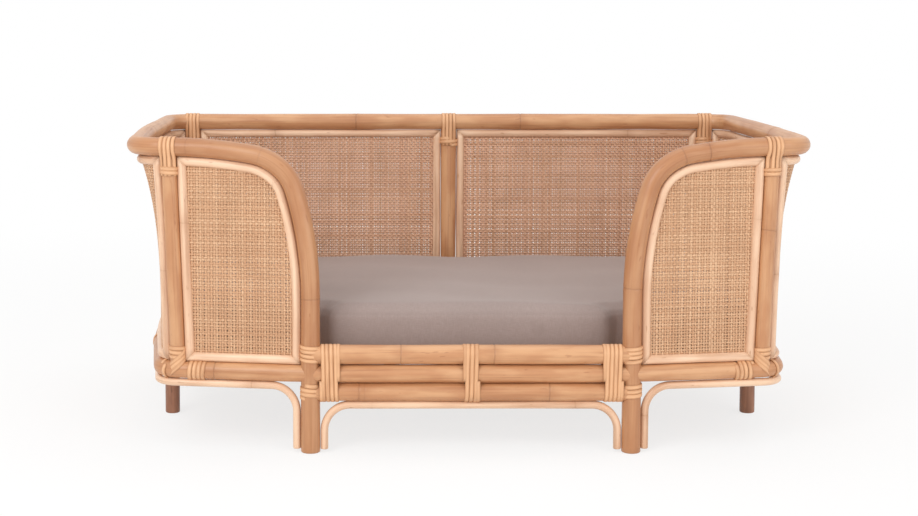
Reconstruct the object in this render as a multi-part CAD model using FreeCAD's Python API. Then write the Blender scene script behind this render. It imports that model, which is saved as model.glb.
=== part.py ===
import FreeCAD, Part
import math
import os

os.makedirs("parts", exist_ok=True)
Vector = FreeCAD.Vector
UP = Vector(0, 0, 1)

# A pet daybed of bent rattan poles with woven cane panels and a loose cushion.
# +Z is up, the entry faces -Y, and the origin is on the floor under the middle of the outline.
# All sizes are millimetres.

# Overall outline, bindings included
overall_width = 884.0
overall_depth = 540.0
overall_height = 395.0

# Pole diameters and sheet thicknesses
frame_pole = 24.0
base_pole = 22.0
post_pole = 20.0
trim_pole = 11.0
brace_pole = 10.0
strip_thickness = 3.0
cane_thickness = 2.0

# Front: leg spacing, the angle of the side front panels, and the height of the base rail
leg_spacing = 400.0
front_toe = 9.0
base_rail_height = 99.0

# The arch above each front leg: how far its corners lie beside the leg and below the top rail
arch_reach = (0.0, 26.0, 58.0, 130.0)
arch_drop = (118.0, 33.0, 10.0, 0.0)
arch_bends = (450.0, 60.0, 75.0, 600.0)

# Outer post: distance from the leg axis along the front panel, low and high
post_reach_low = 169.0
post_reach_high = 180.0
base_splice_reach = 136.0

# Plan of the top rail: corner points inset from the widest line, and bend radii
top_corner_inset = 8.0
top_rear_inset = 4.0
top_bow = 0.8
top_front_bend = 46.0
top_rear_bend = 34.0

# Plan of the base rail, half widths at the front corner and along the side
base_corner_reach = 388.0
base_side_reach = 414.0
base_front_bend = 30.0
base_rear_bend = 30.0
side_bend = 1500.0

# The side panels flare outwards, slowly at first and mostly near the top
flare_power = 3.7
flare_levels = (0.0, 0.55, 0.8, 1.0)
flare_bend = 60.0

# Side legs
side_leg_pole = 20.0
side_leg_setback = 211.0
side_leg_inset = 14.0

# Rear posts and the middle one
rear_post_reach = 392.0

# Thin braces
brace_bend = 32.0
brace_outset = 4.0
brace_foot_height = 4.0

# Bindings of rattan strip
front_binding_width = 25.0
middle_binding_width = 22.0
leg_wrap_low = 66.0
leg_wrap_high = 137.0
rail_wrap_half = 11.0
post_wrap_length = 24.0
saddle_reach = 9.0

# Deck
bearer_pole = 16.0
bearer_places = (-290.0, -100.0, 100.0, 290.0)
slat_count = 8
slat_width = 38.0
slat_thickness = 7.0
slat_front_margin = 49.0
slat_rear_margin = 19.0
slat_end_clearance = 2.0

# Fasteners
screw_shank = 4.0
screw_head = 8.0
screw_head_depth = 2.5
screw_sink = 0.8
deck_screw_length = 16.0
frame_screw_length = 46.0
rail_screw_length = 44.0
dowel_diameter = 8.0
dowel_length = 26.0

# Cushion
cushion_thickness = 64.0
cushion_entry_reach = 178.0
cushion_front_gap = 12.0
cushion_panel_gap = 45.0
cushion_corner_gap = 16.0
cushion_side_gap = 20.0
cushion_back_gap = 15.0
cushion_crown = 5.0
cushion_pull = 5.0
cushion_shoulder = 16.0

# Plan bends of the cushion: two at the notch, then the front and rear outer corners
notch_bend = 12.0
notch_inner_bend = 10.0
cushion_front_bend = 34.0
cushion_rear_bend = 40.0

# The cushion's side, as share of its height and inset, then its crown, as share and size
cushion_side = ((0.0, 12.0), (0.1, 4.0), (0.28, 0.0), (0.5, 2.5), (0.74, 0.0), (0.9, 5.0), (1.0, 16.0))
cushion_top = ((0.45, 0.92), (0.75, 0.8), (0.93, 0.6), (1.0, 0.35))

# Clearances
fit_gap = 0.3
rail_gap = 1.0

# Places worked out from the sizes above
leg_x = leg_spacing / 2
front_y = -overall_depth / 2 + frame_pole / 2 + strip_thickness
back_y = overall_depth / 2 - frame_pole / 2 - strip_thickness
top_z = overall_height - frame_pole / 2 - strip_thickness
side_reach = overall_width / 2 - frame_pole / 2
base_z = base_rail_height
upper_rail_z = base_z + base_pole / 2 + rail_gap + frame_pole / 2
lower_rail_z = base_z - base_pole - rail_gap
front_brace_z = lower_rail_z - base_pole / 2 - brace_pole / 2 - fit_gap
ring_brace_z = base_z - base_pole / 2 - brace_pole / 2 - fit_gap
trim_offset = frame_pole / 2 + trim_pole / 2 + fit_gap
post_trim_offset = post_pole / 2 + trim_pole / 2 + fit_gap
trim_low_z = base_z + base_pole / 2 + trim_pole / 2 + fit_gap
trim_high_z = top_z - trim_offset
slat_low_z = base_z + bearer_pole / 2
slat_high_z = slat_low_z + slat_thickness
toe_direction = Vector(math.cos(math.radians(front_toe)), math.sin(math.radians(front_toe)), 0)
leg_point = Vector(leg_x, front_y, 0)


def along_front(reach, z):
    """A point in the right front panel's plane, reach from the leg's axis."""
    point = leg_point + toe_direction * reach
    return Vector(point.x, point.y, z)


def toe_y(x):
    """Y of the right front panel's plane at this X."""
    return front_y + (x - leg_x) * math.tan(math.radians(front_toe))


def mix(low, high, share):
    return low + (high - low) * share


class Route:
    """A path of straight runs joined by tangent arcs, measured by its length."""

    def __init__(self, points, bends):
        self.pieces = []
        here = points[0]
        for index in range(1, len(points) - 1):
            corner = points[index]
            before = (corner - points[index - 1]).normalize()
            after = (points[index + 1] - corner).normalize()
            turn = before.getAngle(after)
            radius = bends[index - 1]
            reach = radius * math.tan(turn / 2)
            start = corner - before * reach
            inward = (after - before * before.dot(after)).normalize()
            self.add_line(here, start)
            self.pieces.append(("arc", start + inward * radius, inward * -1, before, radius, turn))
            here = corner + after * reach
        self.add_line(here, points[-1])

    def add_line(self, start, end):
        run = end - start
        self.pieces.append(("line", start, run.normalize(), start.distanceToPoint(end)))

    def piece_length(self, piece):
        return piece[3] if piece[0] == "line" else piece[4] * piece[5]

    def length(self):
        return sum(self.piece_length(piece) for piece in self.pieces)

    def place(self, piece, distance):
        """Point and direction on one piece, this far from its start."""
        if piece[0] == "line":
            return piece[1] + piece[2] * distance, piece[2]
        centre, outward, ahead, radius = piece[1:5]
        angle = distance / radius
        point = centre + (outward * math.cos(angle) + ahead * math.sin(angle)) * radius
        return point, ahead * math.cos(angle) - outward * math.sin(angle)

    def at(self, distance):
        """Point and direction at a length along the whole route."""
        for piece in self.pieces:
            size = self.piece_length(piece)
            if distance <= size:
                return self.place(piece, distance)
            distance -= size
        return self.place(piece, size)

    def part(self, start, end):
        """Edges between two lengths."""
        edges = []
        passed = 0.0
        for piece in self.pieces:
            size = self.piece_length(piece)
            low = max(start - passed, 0.0)
            high = min(end - passed, size)
            passed += size
            if high - low < 1e-6:
                continue
            first = self.place(piece, low)[0]
            last = self.place(piece, high)[0]
            if piece[0] == "line":
                edges.append(Part.LineSegment(first, last).toShape())
            else:
                middle = self.place(piece, (low + high) / 2)[0]
                edges.append(Part.Arc(first, middle, last).toShape())
        return edges

    def shifted(self, amount, normal=UP):
        """A flat route moved sideways, to the right of its direction seen along -normal."""
        copy = Route.__new__(Route)
        copy.pieces = []
        for piece in self.pieces:
            if piece[0] == "line":
                side = piece[2].cross(normal) * amount
                copy.pieces.append(("line", piece[1] + side, piece[2], piece[3]))
            else:
                side = piece[3].cross(normal)
                radius = piece[4] + amount * side.dot(piece[2])
                copy.pieces.append(("arc", piece[1], piece[2], piece[3], radius, piece[5]))
        return copy

    def first_length(self, test, start=0.0, step=1.0):
        """The shortest length past start at which test(point) holds, to 0.001 mm."""
        high = start
        while not test(self.at(high)[0]):
            high += step
            if high > self.length() + step:
                raise ValueError("the route never meets the test")
        low = high - step
        while high - low > 0.001:
            middle = (low + high) / 2
            if test(self.at(middle)[0]):
                high = middle
            else:
                low = middle
        return high


def pole(route, diameter, start=0.0, end=None):
    """A round pole along a route, between two lengths."""
    end = route.length() if end is None else end
    spine = Part.Wire(route.part(start, end))
    point, ahead = route.at(start)
    section = Part.Wire(Part.makeCircle(diameter / 2, point, ahead))
    return spine.makePipeShell([section], True, False)


def straight(start, end, diameter):
    run = end - start
    return Part.makeCylinder(diameter / 2, start.distanceToPoint(end), start, run)


def mirror(shape):
    return shape.mirror(Vector(0, 0, 0), Vector(1, 0, 0))


def largest(shape):
    """The biggest solid of a cut, which is the piece itself."""
    return max(shape.Solids, key=lambda solid: solid.Volume)


def trimmed(shape, others):
    """The piece with the space of its neighbours taken out."""
    return largest(shape.cut(others))


nodes = {}


def keep(name, shape):
    nodes[name] = shape


def keep_pair(name, shape):
    """A right-hand piece and its mirror image on the left."""
    nodes[name + "_right"] = shape
    nodes[name + "_left"] = mirror(shape)


# Plan of the rails at any height, from the front leg to the middle of the back
top_points = (
    along_front((side_reach - top_corner_inset - leg_x) / toe_direction.x, 0),
    Vector(side_reach + top_bow, 0, 0),
    Vector(side_reach - top_rear_inset, back_y, 0),
)
base_points = (
    Vector(base_corner_reach, toe_y(base_corner_reach), 0),
    Vector(base_side_reach, 0, 0),
    Vector(base_side_reach, back_y, 0),
)


def plan_route(share, z, outset=0.0):
    """The outline at height z, share 0 as the base rail and 1 as the top rail."""
    points = [Vector(leg_x, front_y, z)]
    for low, high in zip(base_points, top_points):
        points.append(Vector(mix(low.x, high.x, share) + outset, mix(low.y, high.y, share), z))
    points.append(Vector(0, back_y, z))
    bends = [mix(base_front_bend, top_front_bend, share), side_bend]
    bends.append(mix(base_rear_bend, top_rear_bend, share))
    return Route(points, bends)


def post_reach(z):
    """Distance from the leg's axis to the outer post's axis, at this height."""
    return mix(post_reach_low, post_reach_high, (z - base_z) / (top_z - base_z))


def post_axis(z):
    """A point on the outer post's axis."""
    return along_front(post_reach(z), z)


top_route = plan_route(1.0, top_z)
base_route = plan_route(0.0, base_z)
rear_post_axis = Vector(rear_post_reach, back_y, 0)


def near_rear_post(distance):
    """A test: the point is closer to the rear post's axis than this, seen in plan."""
    return lambda point: math.hypot(point.x - rear_post_reach, point.y - back_y) < distance


def reaches_rear_post(point):
    """A test: the point has come round the rear bend to the post's axis."""
    return point.y > 0 and point.x <= rear_post_reach


# Front legs, each bent over into the arch and the front part of the top rail
front_normal = toe_direction.cross(UP)
arch_points = [along_front(reach, top_z - drop) for reach, drop in zip(arch_reach, arch_drop)]
arch_route = Route([leg_point] + arch_points + [along_front(post_reach_high, top_z)], arch_bends)
front_leg = pole(arch_route, frame_pole)

# Top rail: a bent pole round each side, and a straight one along the back
top_end = top_route.first_length(reaches_rear_post, post_reach_high)
top_side = pole(top_route, frame_pole, post_reach_high, top_end)
top_splice = top_route.at(top_end)[0]
top_back = straight(Vector(-top_splice.x, back_y, top_z), top_splice, frame_pole)

# Rear posts stand on the floor and carry the top rail
rear_top = rear_post_axis + UP * top_z
rear_post = trimmed(straight(rear_post_axis, rear_top, frame_pole), [top_side, top_back])

# Base rail: a straight pole beside each front leg, a bent one round each side, one along the back
base_front = straight(along_front(0, base_z), along_front(base_splice_reach, base_z), base_pole)
base_front = trimmed(base_front, [front_leg])
base_end = base_route.first_length(reaches_rear_post, base_splice_reach)
base_side = trimmed(pole(base_route, base_pole, base_splice_reach, base_end), [rear_post])
rear_low = rear_post_axis + UP * base_z
base_back = straight(Vector(-rear_post_reach, back_y, base_z), rear_low, base_pole)
base_back = trimmed(base_back, [rear_post, mirror(rear_post)])

# Outer posts between base rail and top rail, and the middle post of the back
post_foot = post_axis(base_z)
post_top = post_axis(top_z)
outer_post = straight(post_foot, post_top, post_pole)
over_reach = toe_direction * frame_pole
rail_over_post = straight(post_top - over_reach, post_top + over_reach, frame_pole)
outer_post = trimmed(outer_post, [base_side, rail_over_post])
centre_post = straight(Vector(0, back_y, base_z), Vector(0, back_y, top_z), frame_pole)
centre_post = trimmed(centre_post, [base_back, top_back])

# Side legs stand inside the base rail, with their tops cut to it
side_leg_y = front_y + side_leg_setback
side_leg_length = base_route.first_length(lambda point: point.y > side_leg_y, base_splice_reach)
side_leg_x = base_route.at(side_leg_length)[0].x - side_leg_inset
side_leg_foot = Vector(side_leg_x, side_leg_y, 0)
side_leg = trimmed(straight(side_leg_foot, side_leg_foot + UP * base_z, side_leg_pole), [base_side])


# Three rails stacked across the front, cut to the legs
def front_rail(z, diameter):
    rail = straight(Vector(-leg_x, front_y, z), Vector(leg_x, front_y, z), diameter)
    return trimmed(rail, [front_leg, mirror(front_leg)])


front_top_rail = front_rail(upper_rail_z, frame_pole)
front_middle_rail = front_rail(base_z, base_pole)
front_bottom_rail = front_rail(lower_rail_z, base_pole)
front_rails = [front_top_rail, front_middle_rail, front_bottom_rail]

# Thin braces: one across the front, one round each side and one across the back
brace_offset = frame_pole / 2 + brace_pole / 2 + fit_gap


def cross_brace(reach, y, z):
    """An upside-down U whose ends run down the inner sides of two legs."""
    points = [
        Vector(-reach, y, brace_foot_height),
        Vector(-reach, y, z),
        Vector(reach, y, z),
        Vector(reach, y, brace_foot_height),
    ]
    return pole(Route(points, [brace_bend, brace_bend]), brace_pole)


def ring_brace():
    """From the front leg's foot, round the side under the base rail, to the rear leg's foot."""
    corner = Vector(base_corner_reach + brace_outset, toe_y(base_corner_reach), ring_brace_z)
    side = Vector(base_side_reach + brace_outset, 0, ring_brace_z)
    rear = rear_post_axis + Vector(1, -1, 0).normalize() * brace_offset + UP * ring_brace_z
    start = along_front(brace_offset, ring_brace_z)
    points = [
        Vector(start.x, start.y, brace_foot_height),
        start,
        corner,
        side,
        rear,
        Vector(rear.x, rear.y, brace_foot_height),
    ]
    return pole(Route(points, [brace_bend, base_front_bend, side_bend, brace_bend]), brace_pole)


front_brace = cross_brace(leg_x - brace_offset, front_y, front_brace_z)
back_brace = cross_brace(rear_post_reach - brace_offset, back_y, ring_brace_z)
side_brace = ring_brace()


# Panels: thin poles round the edge, with cane between them
def flat_sheet(outline, normal):
    """A cane sheet between two faces, centred on a closed wire."""
    face = Part.Face(Part.Wire(outline))
    face.translate(normal * (-cane_thickness / 2))
    return face.extrude(normal * cane_thickness)


def front_panel():
    """The arched panel beside the entry, and its four edge poles."""
    low_out = along_front(post_reach(trim_low_z) - post_trim_offset, trim_low_z)
    far_x = along_front(post_reach(trim_high_z) - post_trim_offset, 0).x
    arch = arch_route.shifted(trim_offset, front_normal)
    start = trim_low_z
    end = arch.first_length(lambda point: point.x > far_x, start)
    low_in = arch.at(start)[0]
    high_out = arch.at(end)[0]
    bottom = straight(low_in, low_out, trim_pole)
    outer = straight(low_out, high_out, trim_pole)
    arched = trimmed(pole(arch, trim_pole, start, end), [outer])
    bottom = trimmed(bottom, [outer, arched])
    outline = arch.part(start, end)
    outline.append(Part.LineSegment(high_out, low_out).toShape())
    outline.append(Part.LineSegment(low_out, low_in).toShape())
    sheet = flat_sheet(outline, front_normal)
    trims = [arched, outer, bottom]
    return trims, trimmed(sheet, trims)


def back_panel():
    """One flat panel of the back, between the middle post and the rear post."""
    near = trim_offset
    far = rear_post_reach - trim_offset
    corners = [
        Vector(near, back_y, trim_low_z),
        Vector(far, back_y, trim_low_z),
        Vector(far, back_y, trim_high_z),
        Vector(near, back_y, trim_high_z),
    ]
    upright = [straight(corners[0], corners[3], trim_pole), straight(corners[1], corners[2], trim_pole)]
    level = [straight(corners[0], corners[1], trim_pole), straight(corners[3], corners[2], trim_pole)]
    level = [trimmed(piece, upright) for piece in level]
    trims = upright + level
    outline = Part.makePolygon(corners + corners[:1]).Edges
    return trims, trimmed(flat_sheet(outline, Vector(0, 1, 0)), trims)


def side_panel_ends(route, share):
    """Lengths along a level route where the side panel's edge poles stand."""
    start = mix(post_reach_low, post_reach_high, share) + post_trim_offset
    return start, route.first_length(near_rear_post(trim_offset), start)


def sheet_section(route, start, end):
    """A thin closed outline along a level route."""
    outer = route.shifted(cane_thickness / 2)
    inner = route.shifted(-cane_thickness / 2)
    edges = []
    sides = []
    for line in (outer, inner):
        low = matching_length(route, line, start)
        high = matching_length(route, line, end)
        sides.append(line.part(low, high))
        edges.append((line.at(low)[0], line.at(high)[0]))
    closing = [Part.LineSegment(edges[0][1], edges[1][1]).toShape()]
    opening = [Part.LineSegment(edges[1][0], edges[0][0]).toShape()]
    return Part.Wire(Part.__sortEdges__(sides[0] + closing + sides[1] + opening))


def matching_length(route, line, distance):
    """Length on a shifted route beside a length on the route itself."""
    passed = 0.0
    for piece, moved in zip(route.pieces, line.pieces):
        size = route.piece_length(piece)
        if distance <= size:
            return passed + distance * line.piece_length(moved) / size
        distance -= size
        passed += line.piece_length(moved)
    return passed


def side_panel():
    """The panel that curves round the side from the outer post to the rear post."""
    sections = []
    front_points = []
    rear_points = []
    for level in flare_levels:
        z = mix(trim_low_z, trim_high_z, level)
        height = (z - base_z) / (top_z - base_z)
        route = plan_route(height ** flare_power, z)
        start, end = side_panel_ends(route, height)
        sections.append(sheet_section(route, start, end))
        front_points.append(route.at(start)[0])
        rear_points.append(route.at(end)[0])
        if level == flare_levels[0]:
            bottom = pole(route, trim_pole, start, end)
        if level == flare_levels[-1]:
            top = pole(route, trim_pole, start, end)
    bends = [flare_bend] * (len(flare_levels) - 2)
    front = pole(Route(front_points, bends), trim_pole)
    rear = pole(Route(rear_points, bends), trim_pole)
    uprights = [front, rear]
    trims = uprights + [trimmed(piece, uprights) for piece in (bottom, top)]
    sheet = Part.makeLoft(sections, True, True)
    return trims, trimmed(sheet, trims)


front_trims, front_cane = front_panel()
back_trims, back_cane = back_panel()
side_trims, side_cane = side_panel()


# Bindings of strip, wound round the poles where they meet
def sleeve(route, diameter, start, end):
    return pole(route, diameter + 2 * strip_thickness, start, end)


def collar(start, end, diameter):
    return straight(start, end, diameter + 2 * strip_thickness)


def stack_binding(start_x, end_x):
    """One broad band round all three front rails, with round top and bottom."""
    radius = frame_pole / 2 + strip_thickness
    low = Vector(start_x, front_y, lower_rail_z)
    high = Vector(start_x, front_y, upper_rail_z)
    out = Vector(0, radius, 0)
    outline = [
        Part.LineSegment(low - out, high - out).toShape(),
        Part.Arc(high - out, high + UP * radius, high + out).toShape(),
        Part.LineSegment(high + out, low + out).toShape(),
        Part.Arc(low + out, low - UP * (base_pole / 2 + strip_thickness), low - out).toShape(),
    ]
    band = Part.Face(Part.Wire(outline)).extrude(Vector(end_x - start_x, 0, 0))
    return trimmed(band, front_rails + [front_leg, mirror(front_leg), front_brace])


inner_leg_x = leg_x - frame_pole / 2
front_binding = stack_binding(inner_leg_x - front_binding_width, leg_x)
centre_binding = stack_binding(-middle_binding_width / 2, middle_binding_width / 2)

leg_wrap = collar(leg_point + UP * leg_wrap_low, leg_point + UP * leg_wrap_high, frame_pole)
leg_neighbours = [front_leg, base_front, front_binding, front_brace, side_brace]
leg_wrap = trimmed(leg_wrap, leg_neighbours + front_rails + front_trims)


def strap(low, high, side, half_width, half_depth):
    """A band up two opposite sides of a post, as wide as the post or narrower."""
    out = side.cross(high - low).normalize() * half_depth
    wide = side * half_width
    corners = [low - wide - out, low + wide - out, low + wide + out, low - wide + out]
    return Part.Face(Part.makePolygon(corners + corners[:1])).extrude(high - low)


def saddle(rail_axis, rail_run, post_run, post_diameter, poles):
    """Strip laid over the rail and down both sides of the post under it."""
    half = rail_run * rail_wrap_half
    over = collar(rail_axis - half, rail_axis + half, frame_pole)
    size = 2 * frame_pole
    below = Part.makeBox(2 * size, 2 * size, size, rail_axis - Vector(size, size, size + saddle_reach))
    low = rail_axis - post_run * (frame_pole / 2 + post_wrap_length)
    side = (rail_run - post_run * rail_run.dot(post_run)).normalize()
    half_width = (post_diameter - strip_thickness) / 2
    band = strap(low, rail_axis, side, half_width, post_diameter / 2 + strip_thickness)
    return trimmed(over.cut(below).fuse(band), poles)


post_run = (post_top - post_foot).normalize()
top_binding = saddle(post_top, toe_direction, post_run, post_pole, [rail_over_post, outer_post])

foot_start = base_splice_reach - rail_wrap_half / 2
foot_end = post_reach_low + rail_wrap_half
foot_collar_run = post_run * (base_pole / 2 + post_wrap_length)
foot_binding = sleeve(base_route, base_pole, foot_start, foot_end)
foot_binding = foot_binding.fuse(collar(post_foot, post_foot + foot_collar_run, post_pole))
foot_poles = [base_front, base_side, outer_post, side_brace]
foot_binding = trimmed(foot_binding, foot_poles + front_trims + side_trims)

rear_binding = saddle(rear_top, Vector(1, 0, 0), UP, frame_pole, [top_side, top_back, rear_post])
centre_top = Vector(0, back_y, top_z)
centre_top_binding = saddle(centre_top, Vector(1, 0, 0), UP, frame_pole, [top_back, centre_post])

across = Vector(rail_wrap_half, 0, 0)
centre_low = Vector(0, back_y, base_z)
centre_collar_top = centre_low + UP * (base_pole / 2 + post_wrap_length)
centre_foot_binding = collar(centre_low - across, centre_low + across, base_pole)
centre_foot_binding = centre_foot_binding.fuse(collar(centre_low, centre_collar_top, frame_pole))
both_back_trims = back_trims + [mirror(piece) for piece in back_trims]
centre_poles = [base_back, centre_post, back_brace]
centre_foot_binding = trimmed(centre_foot_binding, centre_poles + both_back_trims)

rear_wrap_half = base_pole / 2 + post_wrap_length / 2
rear_base_binding = collar(rear_low - UP * rear_wrap_half, rear_low + UP * rear_wrap_half, frame_pole)
rear_poles = [rear_post, base_side, base_back, side_brace, back_brace]
rear_base_binding = trimmed(rear_base_binding, rear_poles + side_trims + back_trims)

leg_start = side_leg_length - rail_wrap_half
leg_end = side_leg_length + rail_wrap_half
leg_collar_low = side_leg_foot + UP * (ring_brace_z - brace_pole / 2)
leg_binding = sleeve(base_route, base_pole, leg_start, leg_end)
leg_binding = leg_binding.fuse(collar(leg_collar_low, side_leg_foot + UP * base_z, side_leg_pole))
leg_binding = trimmed(leg_binding, [base_side, side_leg, side_brace] + side_trims)


# Deck: four bearers from front to back, with slats across them
def bearer(x):
    start_y = front_y if abs(x) < leg_x else toe_y(abs(x))
    piece = straight(Vector(x, start_y, base_z), Vector(x, back_y, base_z), bearer_pole)
    return trimmed(piece, [front_middle_rail, base_front, mirror(base_front), base_back])


slat_first_y = front_y + slat_front_margin
slat_last_y = back_y - slat_rear_margin - slat_width
slat_places = [mix(slat_first_y, slat_last_y, index / (slat_count - 1)) for index in range(slat_count)]


def base_reach(y):
    """Half width of the base rail's axis at this Y, along the side."""
    length = base_route.first_length(lambda point: point.y > y, base_splice_reach)
    return base_route.at(length)[0].x


def slat(y):
    half = min(base_reach(y), base_reach(y + slat_width)) - base_pole / 2 - slat_end_clearance
    return Part.makeBox(2 * half, slat_width, slat_thickness, Vector(-half, y, slat_low_z))


def screw(head_point, direction, length):
    """A countersunk screw with the top of its head at head_point."""
    shank = straight(head_point, head_point + direction * length, screw_shank)
    head = Part.makeCone(screw_head / 2, screw_shank / 2, screw_head_depth, head_point, direction)
    return shank.fuse(head).removeSplitter()


def sunk_screw(surface_point, direction, length):
    """A screw sunk below a pole's round side, and the mouth of its hole."""
    head_point = surface_point + direction * screw_sink
    return screw(head_point, direction, length), straight(surface_point, head_point, screw_head)


deck_screws = []
for x in bearer_places:
    for y in slat_places:
        deck_screws.append(screw(Vector(x, y + slat_width / 2, slat_high_z), UP * -1, deck_screw_length))
bearers = [largest(bearer(x).cut(deck_screws)) for x in bearer_places]
slats = [largest(slat(y).cut(deck_screws)) for y in slat_places]


# Screws down through the top rail into the posts, and through the legs into the front rails
def post_screw(axis_point):
    return sunk_screw(axis_point + UP * frame_pole / 2, UP * -1, frame_screw_length)


def leg_screw(z):
    return sunk_screw(Vector(leg_x + frame_pole / 2, front_y, z), Vector(-1, 0, 0), rail_screw_length)


post_screws, post_mouths = zip(post_screw(post_top), post_screw(rear_top))
leg_screws, leg_mouths = zip(leg_screw(upper_rail_z), leg_screw(lower_rail_z))
centre_screw, centre_mouth = post_screw(centre_top)
right_screws = list(post_screws + leg_screws)

# Dowels inside the top rail's joints, set beside the screws' line
splice_dowels = []
for point, ahead in ((post_top, toe_direction), (rear_top, Vector(1, 0, 0))):
    low = point - ahead * dowel_length / 2
    dowel = straight(low, low + ahead * dowel_length, dowel_diameter)
    splice_dowels.append(trimmed(dowel, right_screws))

right_inserts = right_screws + splice_dowels + list(post_mouths + leg_mouths)
front_leg = largest(front_leg.cut(right_inserts))
top_side = largest(top_side.cut(right_inserts))
outer_post = largest(outer_post.cut(right_inserts))
rear_post = largest(rear_post.cut(right_inserts))
centre_inserts = [centre_screw, centre_mouth]
all_inserts = right_inserts + [mirror(piece) for piece in right_inserts] + centre_inserts
all_screws = right_screws + [mirror(piece) for piece in right_screws] + [centre_screw]
all_dowels = splice_dowels + [mirror(piece) for piece in splice_dowels]
top_back = largest(top_back.cut(all_inserts))
centre_post = largest(centre_post.cut(centre_inserts))
front_top_rail = largest(front_top_rail.cut(all_inserts))
front_bottom_rail = largest(front_bottom_rail.cut(all_inserts))


# Cushion: crowned on top, drawn in along its sides, flat underneath
def cushion_outline(z, inset, size=1.0):
    """A closed outline at height z, inset all round, then shrunk about its middle."""
    front = front_y + frame_pole / 2 + cushion_front_gap + inset
    back = back_y - cushion_back_gap - inset
    side_low = base_corner_reach - cushion_corner_gap - inset
    side_high = base_side_reach - cushion_side_gap - inset
    entry = cushion_entry_reach - inset
    shoulder = entry + cushion_shoulder
    right = [
        (entry, front),
        (shoulder, toe_y(shoulder) + cushion_panel_gap + inset),
        (side_low, toe_y(side_low) + cushion_panel_gap + inset),
        (side_high - cushion_pull, 0),
        (side_high, back),
    ]
    bends = [notch_bend, notch_inner_bend, cushion_front_bend, side_bend, cushion_rear_bend]
    points = [(0, front + cushion_pull)] + right + [(0, back - cushion_pull)]
    points += [(-x, y) for x, y in reversed(right)]
    bends = bends + [side_bend] + bends[::-1] + [side_bend]
    middle_y = (front + back) / 2
    ring = [Vector(x * size, middle_y + (y - middle_y) * size, z) for x, y in points]
    start = (ring[0] + ring[1]) * 0.5
    route = Route([start] + ring[1:] + [ring[0], start], [bend * size for bend in bends])
    return Part.Wire(route.part(0, route.length()))


def cushion():
    low = slat_high_z + fit_gap
    rise = cushion_thickness - fit_gap - cushion_crown
    sections = [cushion_outline(low + rise * up, inset) for up, inset in cushion_side]
    for up, size in cushion_top:
        sections.append(cushion_outline(low + rise + cushion_crown * up, cushion_side[-1][1], size))
    return Part.makeLoft(sections, True, True)


keep_pair("front_leg_arch", front_leg)
keep_pair("top_rail_side", top_side)
keep("top_rail_back", top_back)
keep("front_top_rail", front_top_rail)
keep("front_middle_rail", front_middle_rail)
keep("front_bottom_rail", front_bottom_rail)
keep_pair("base_rail_front", base_front)
keep_pair("base_rail_side", base_side)
keep("base_rail_back", base_back)
keep_pair("outer_post", outer_post)
keep_pair("rear_corner_post", rear_post)
keep("back_centre_post", centre_post)
keep_pair("side_leg", side_leg)
keep("front_brace", front_brace)
keep_pair("side_brace", side_brace)
keep("back_brace", back_brace)
keep_pair("front_panel_trim", Part.makeCompound(front_trims))
keep_pair("back_panel_trim", Part.makeCompound(back_trims))
keep_pair("side_panel_trim", Part.makeCompound(side_trims))
keep_pair("front_cane", front_cane)
keep_pair("back_cane", back_cane)
keep_pair("side_cane", side_cane)
keep_pair("front_rail_binding", front_binding)
keep("front_rail_binding_centre", centre_binding)
keep_pair("leg_wrap", leg_wrap)
keep_pair("post_top_binding", top_binding)
keep_pair("post_foot_binding", foot_binding)
keep_pair("rear_post_binding", rear_binding)
keep("centre_post_top_binding", centre_top_binding)
keep("centre_post_foot_binding", centre_foot_binding)
keep("rear_base_bindings", Part.makeCompound([rear_base_binding, mirror(rear_base_binding)]))
keep("side_leg_bindings", Part.makeCompound([leg_binding, mirror(leg_binding)]))
keep("deck_bearers", Part.makeCompound(bearers))
keep("deck_slats", Part.makeCompound(slats))
keep("deck_screws", Part.makeCompound(deck_screws))
keep("frame_screws", Part.makeCompound(all_screws))
keep("splice_dowels", Part.makeCompound(all_dowels))
keep("cushion", cushion())

for name, shape in nodes.items():
    shape.exportStep("parts/" + name + ".step")
print(len(nodes), "nodes")
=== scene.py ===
import math

import bpy
import numpy as np
from bpy.props import FloatProperty, FloatVectorProperty, IntProperty, PointerProperty
from mathutils import Euler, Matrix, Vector


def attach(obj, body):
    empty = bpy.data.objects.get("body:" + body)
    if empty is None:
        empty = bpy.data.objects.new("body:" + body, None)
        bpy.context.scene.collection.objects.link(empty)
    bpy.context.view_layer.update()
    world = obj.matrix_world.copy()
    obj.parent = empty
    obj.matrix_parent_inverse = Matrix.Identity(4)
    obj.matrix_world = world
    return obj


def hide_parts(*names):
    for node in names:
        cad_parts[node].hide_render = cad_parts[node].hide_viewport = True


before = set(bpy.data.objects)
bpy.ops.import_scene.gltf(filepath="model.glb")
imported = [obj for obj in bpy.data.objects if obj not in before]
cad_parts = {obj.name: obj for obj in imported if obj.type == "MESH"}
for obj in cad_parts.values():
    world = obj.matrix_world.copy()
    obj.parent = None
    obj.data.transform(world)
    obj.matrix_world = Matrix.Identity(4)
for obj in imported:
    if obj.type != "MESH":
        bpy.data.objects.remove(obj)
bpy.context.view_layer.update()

bl_info = {
    "name": "Rattan Pet Daybed",
    "version": (1, 0, 0),
    "blender": (4, 5, 0),
    "location": "View3D > Sidebar > Daybed",
    "description": "Bent rattan poles, woven cane, strip bindings and a loose cushion",
    "category": "Add Mesh",
}

# Sizes below are in millimetres, and become metres as a mesh is made.
MM = 0.001
UP = np.array((0.0, 0.0, 1.0))

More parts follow.
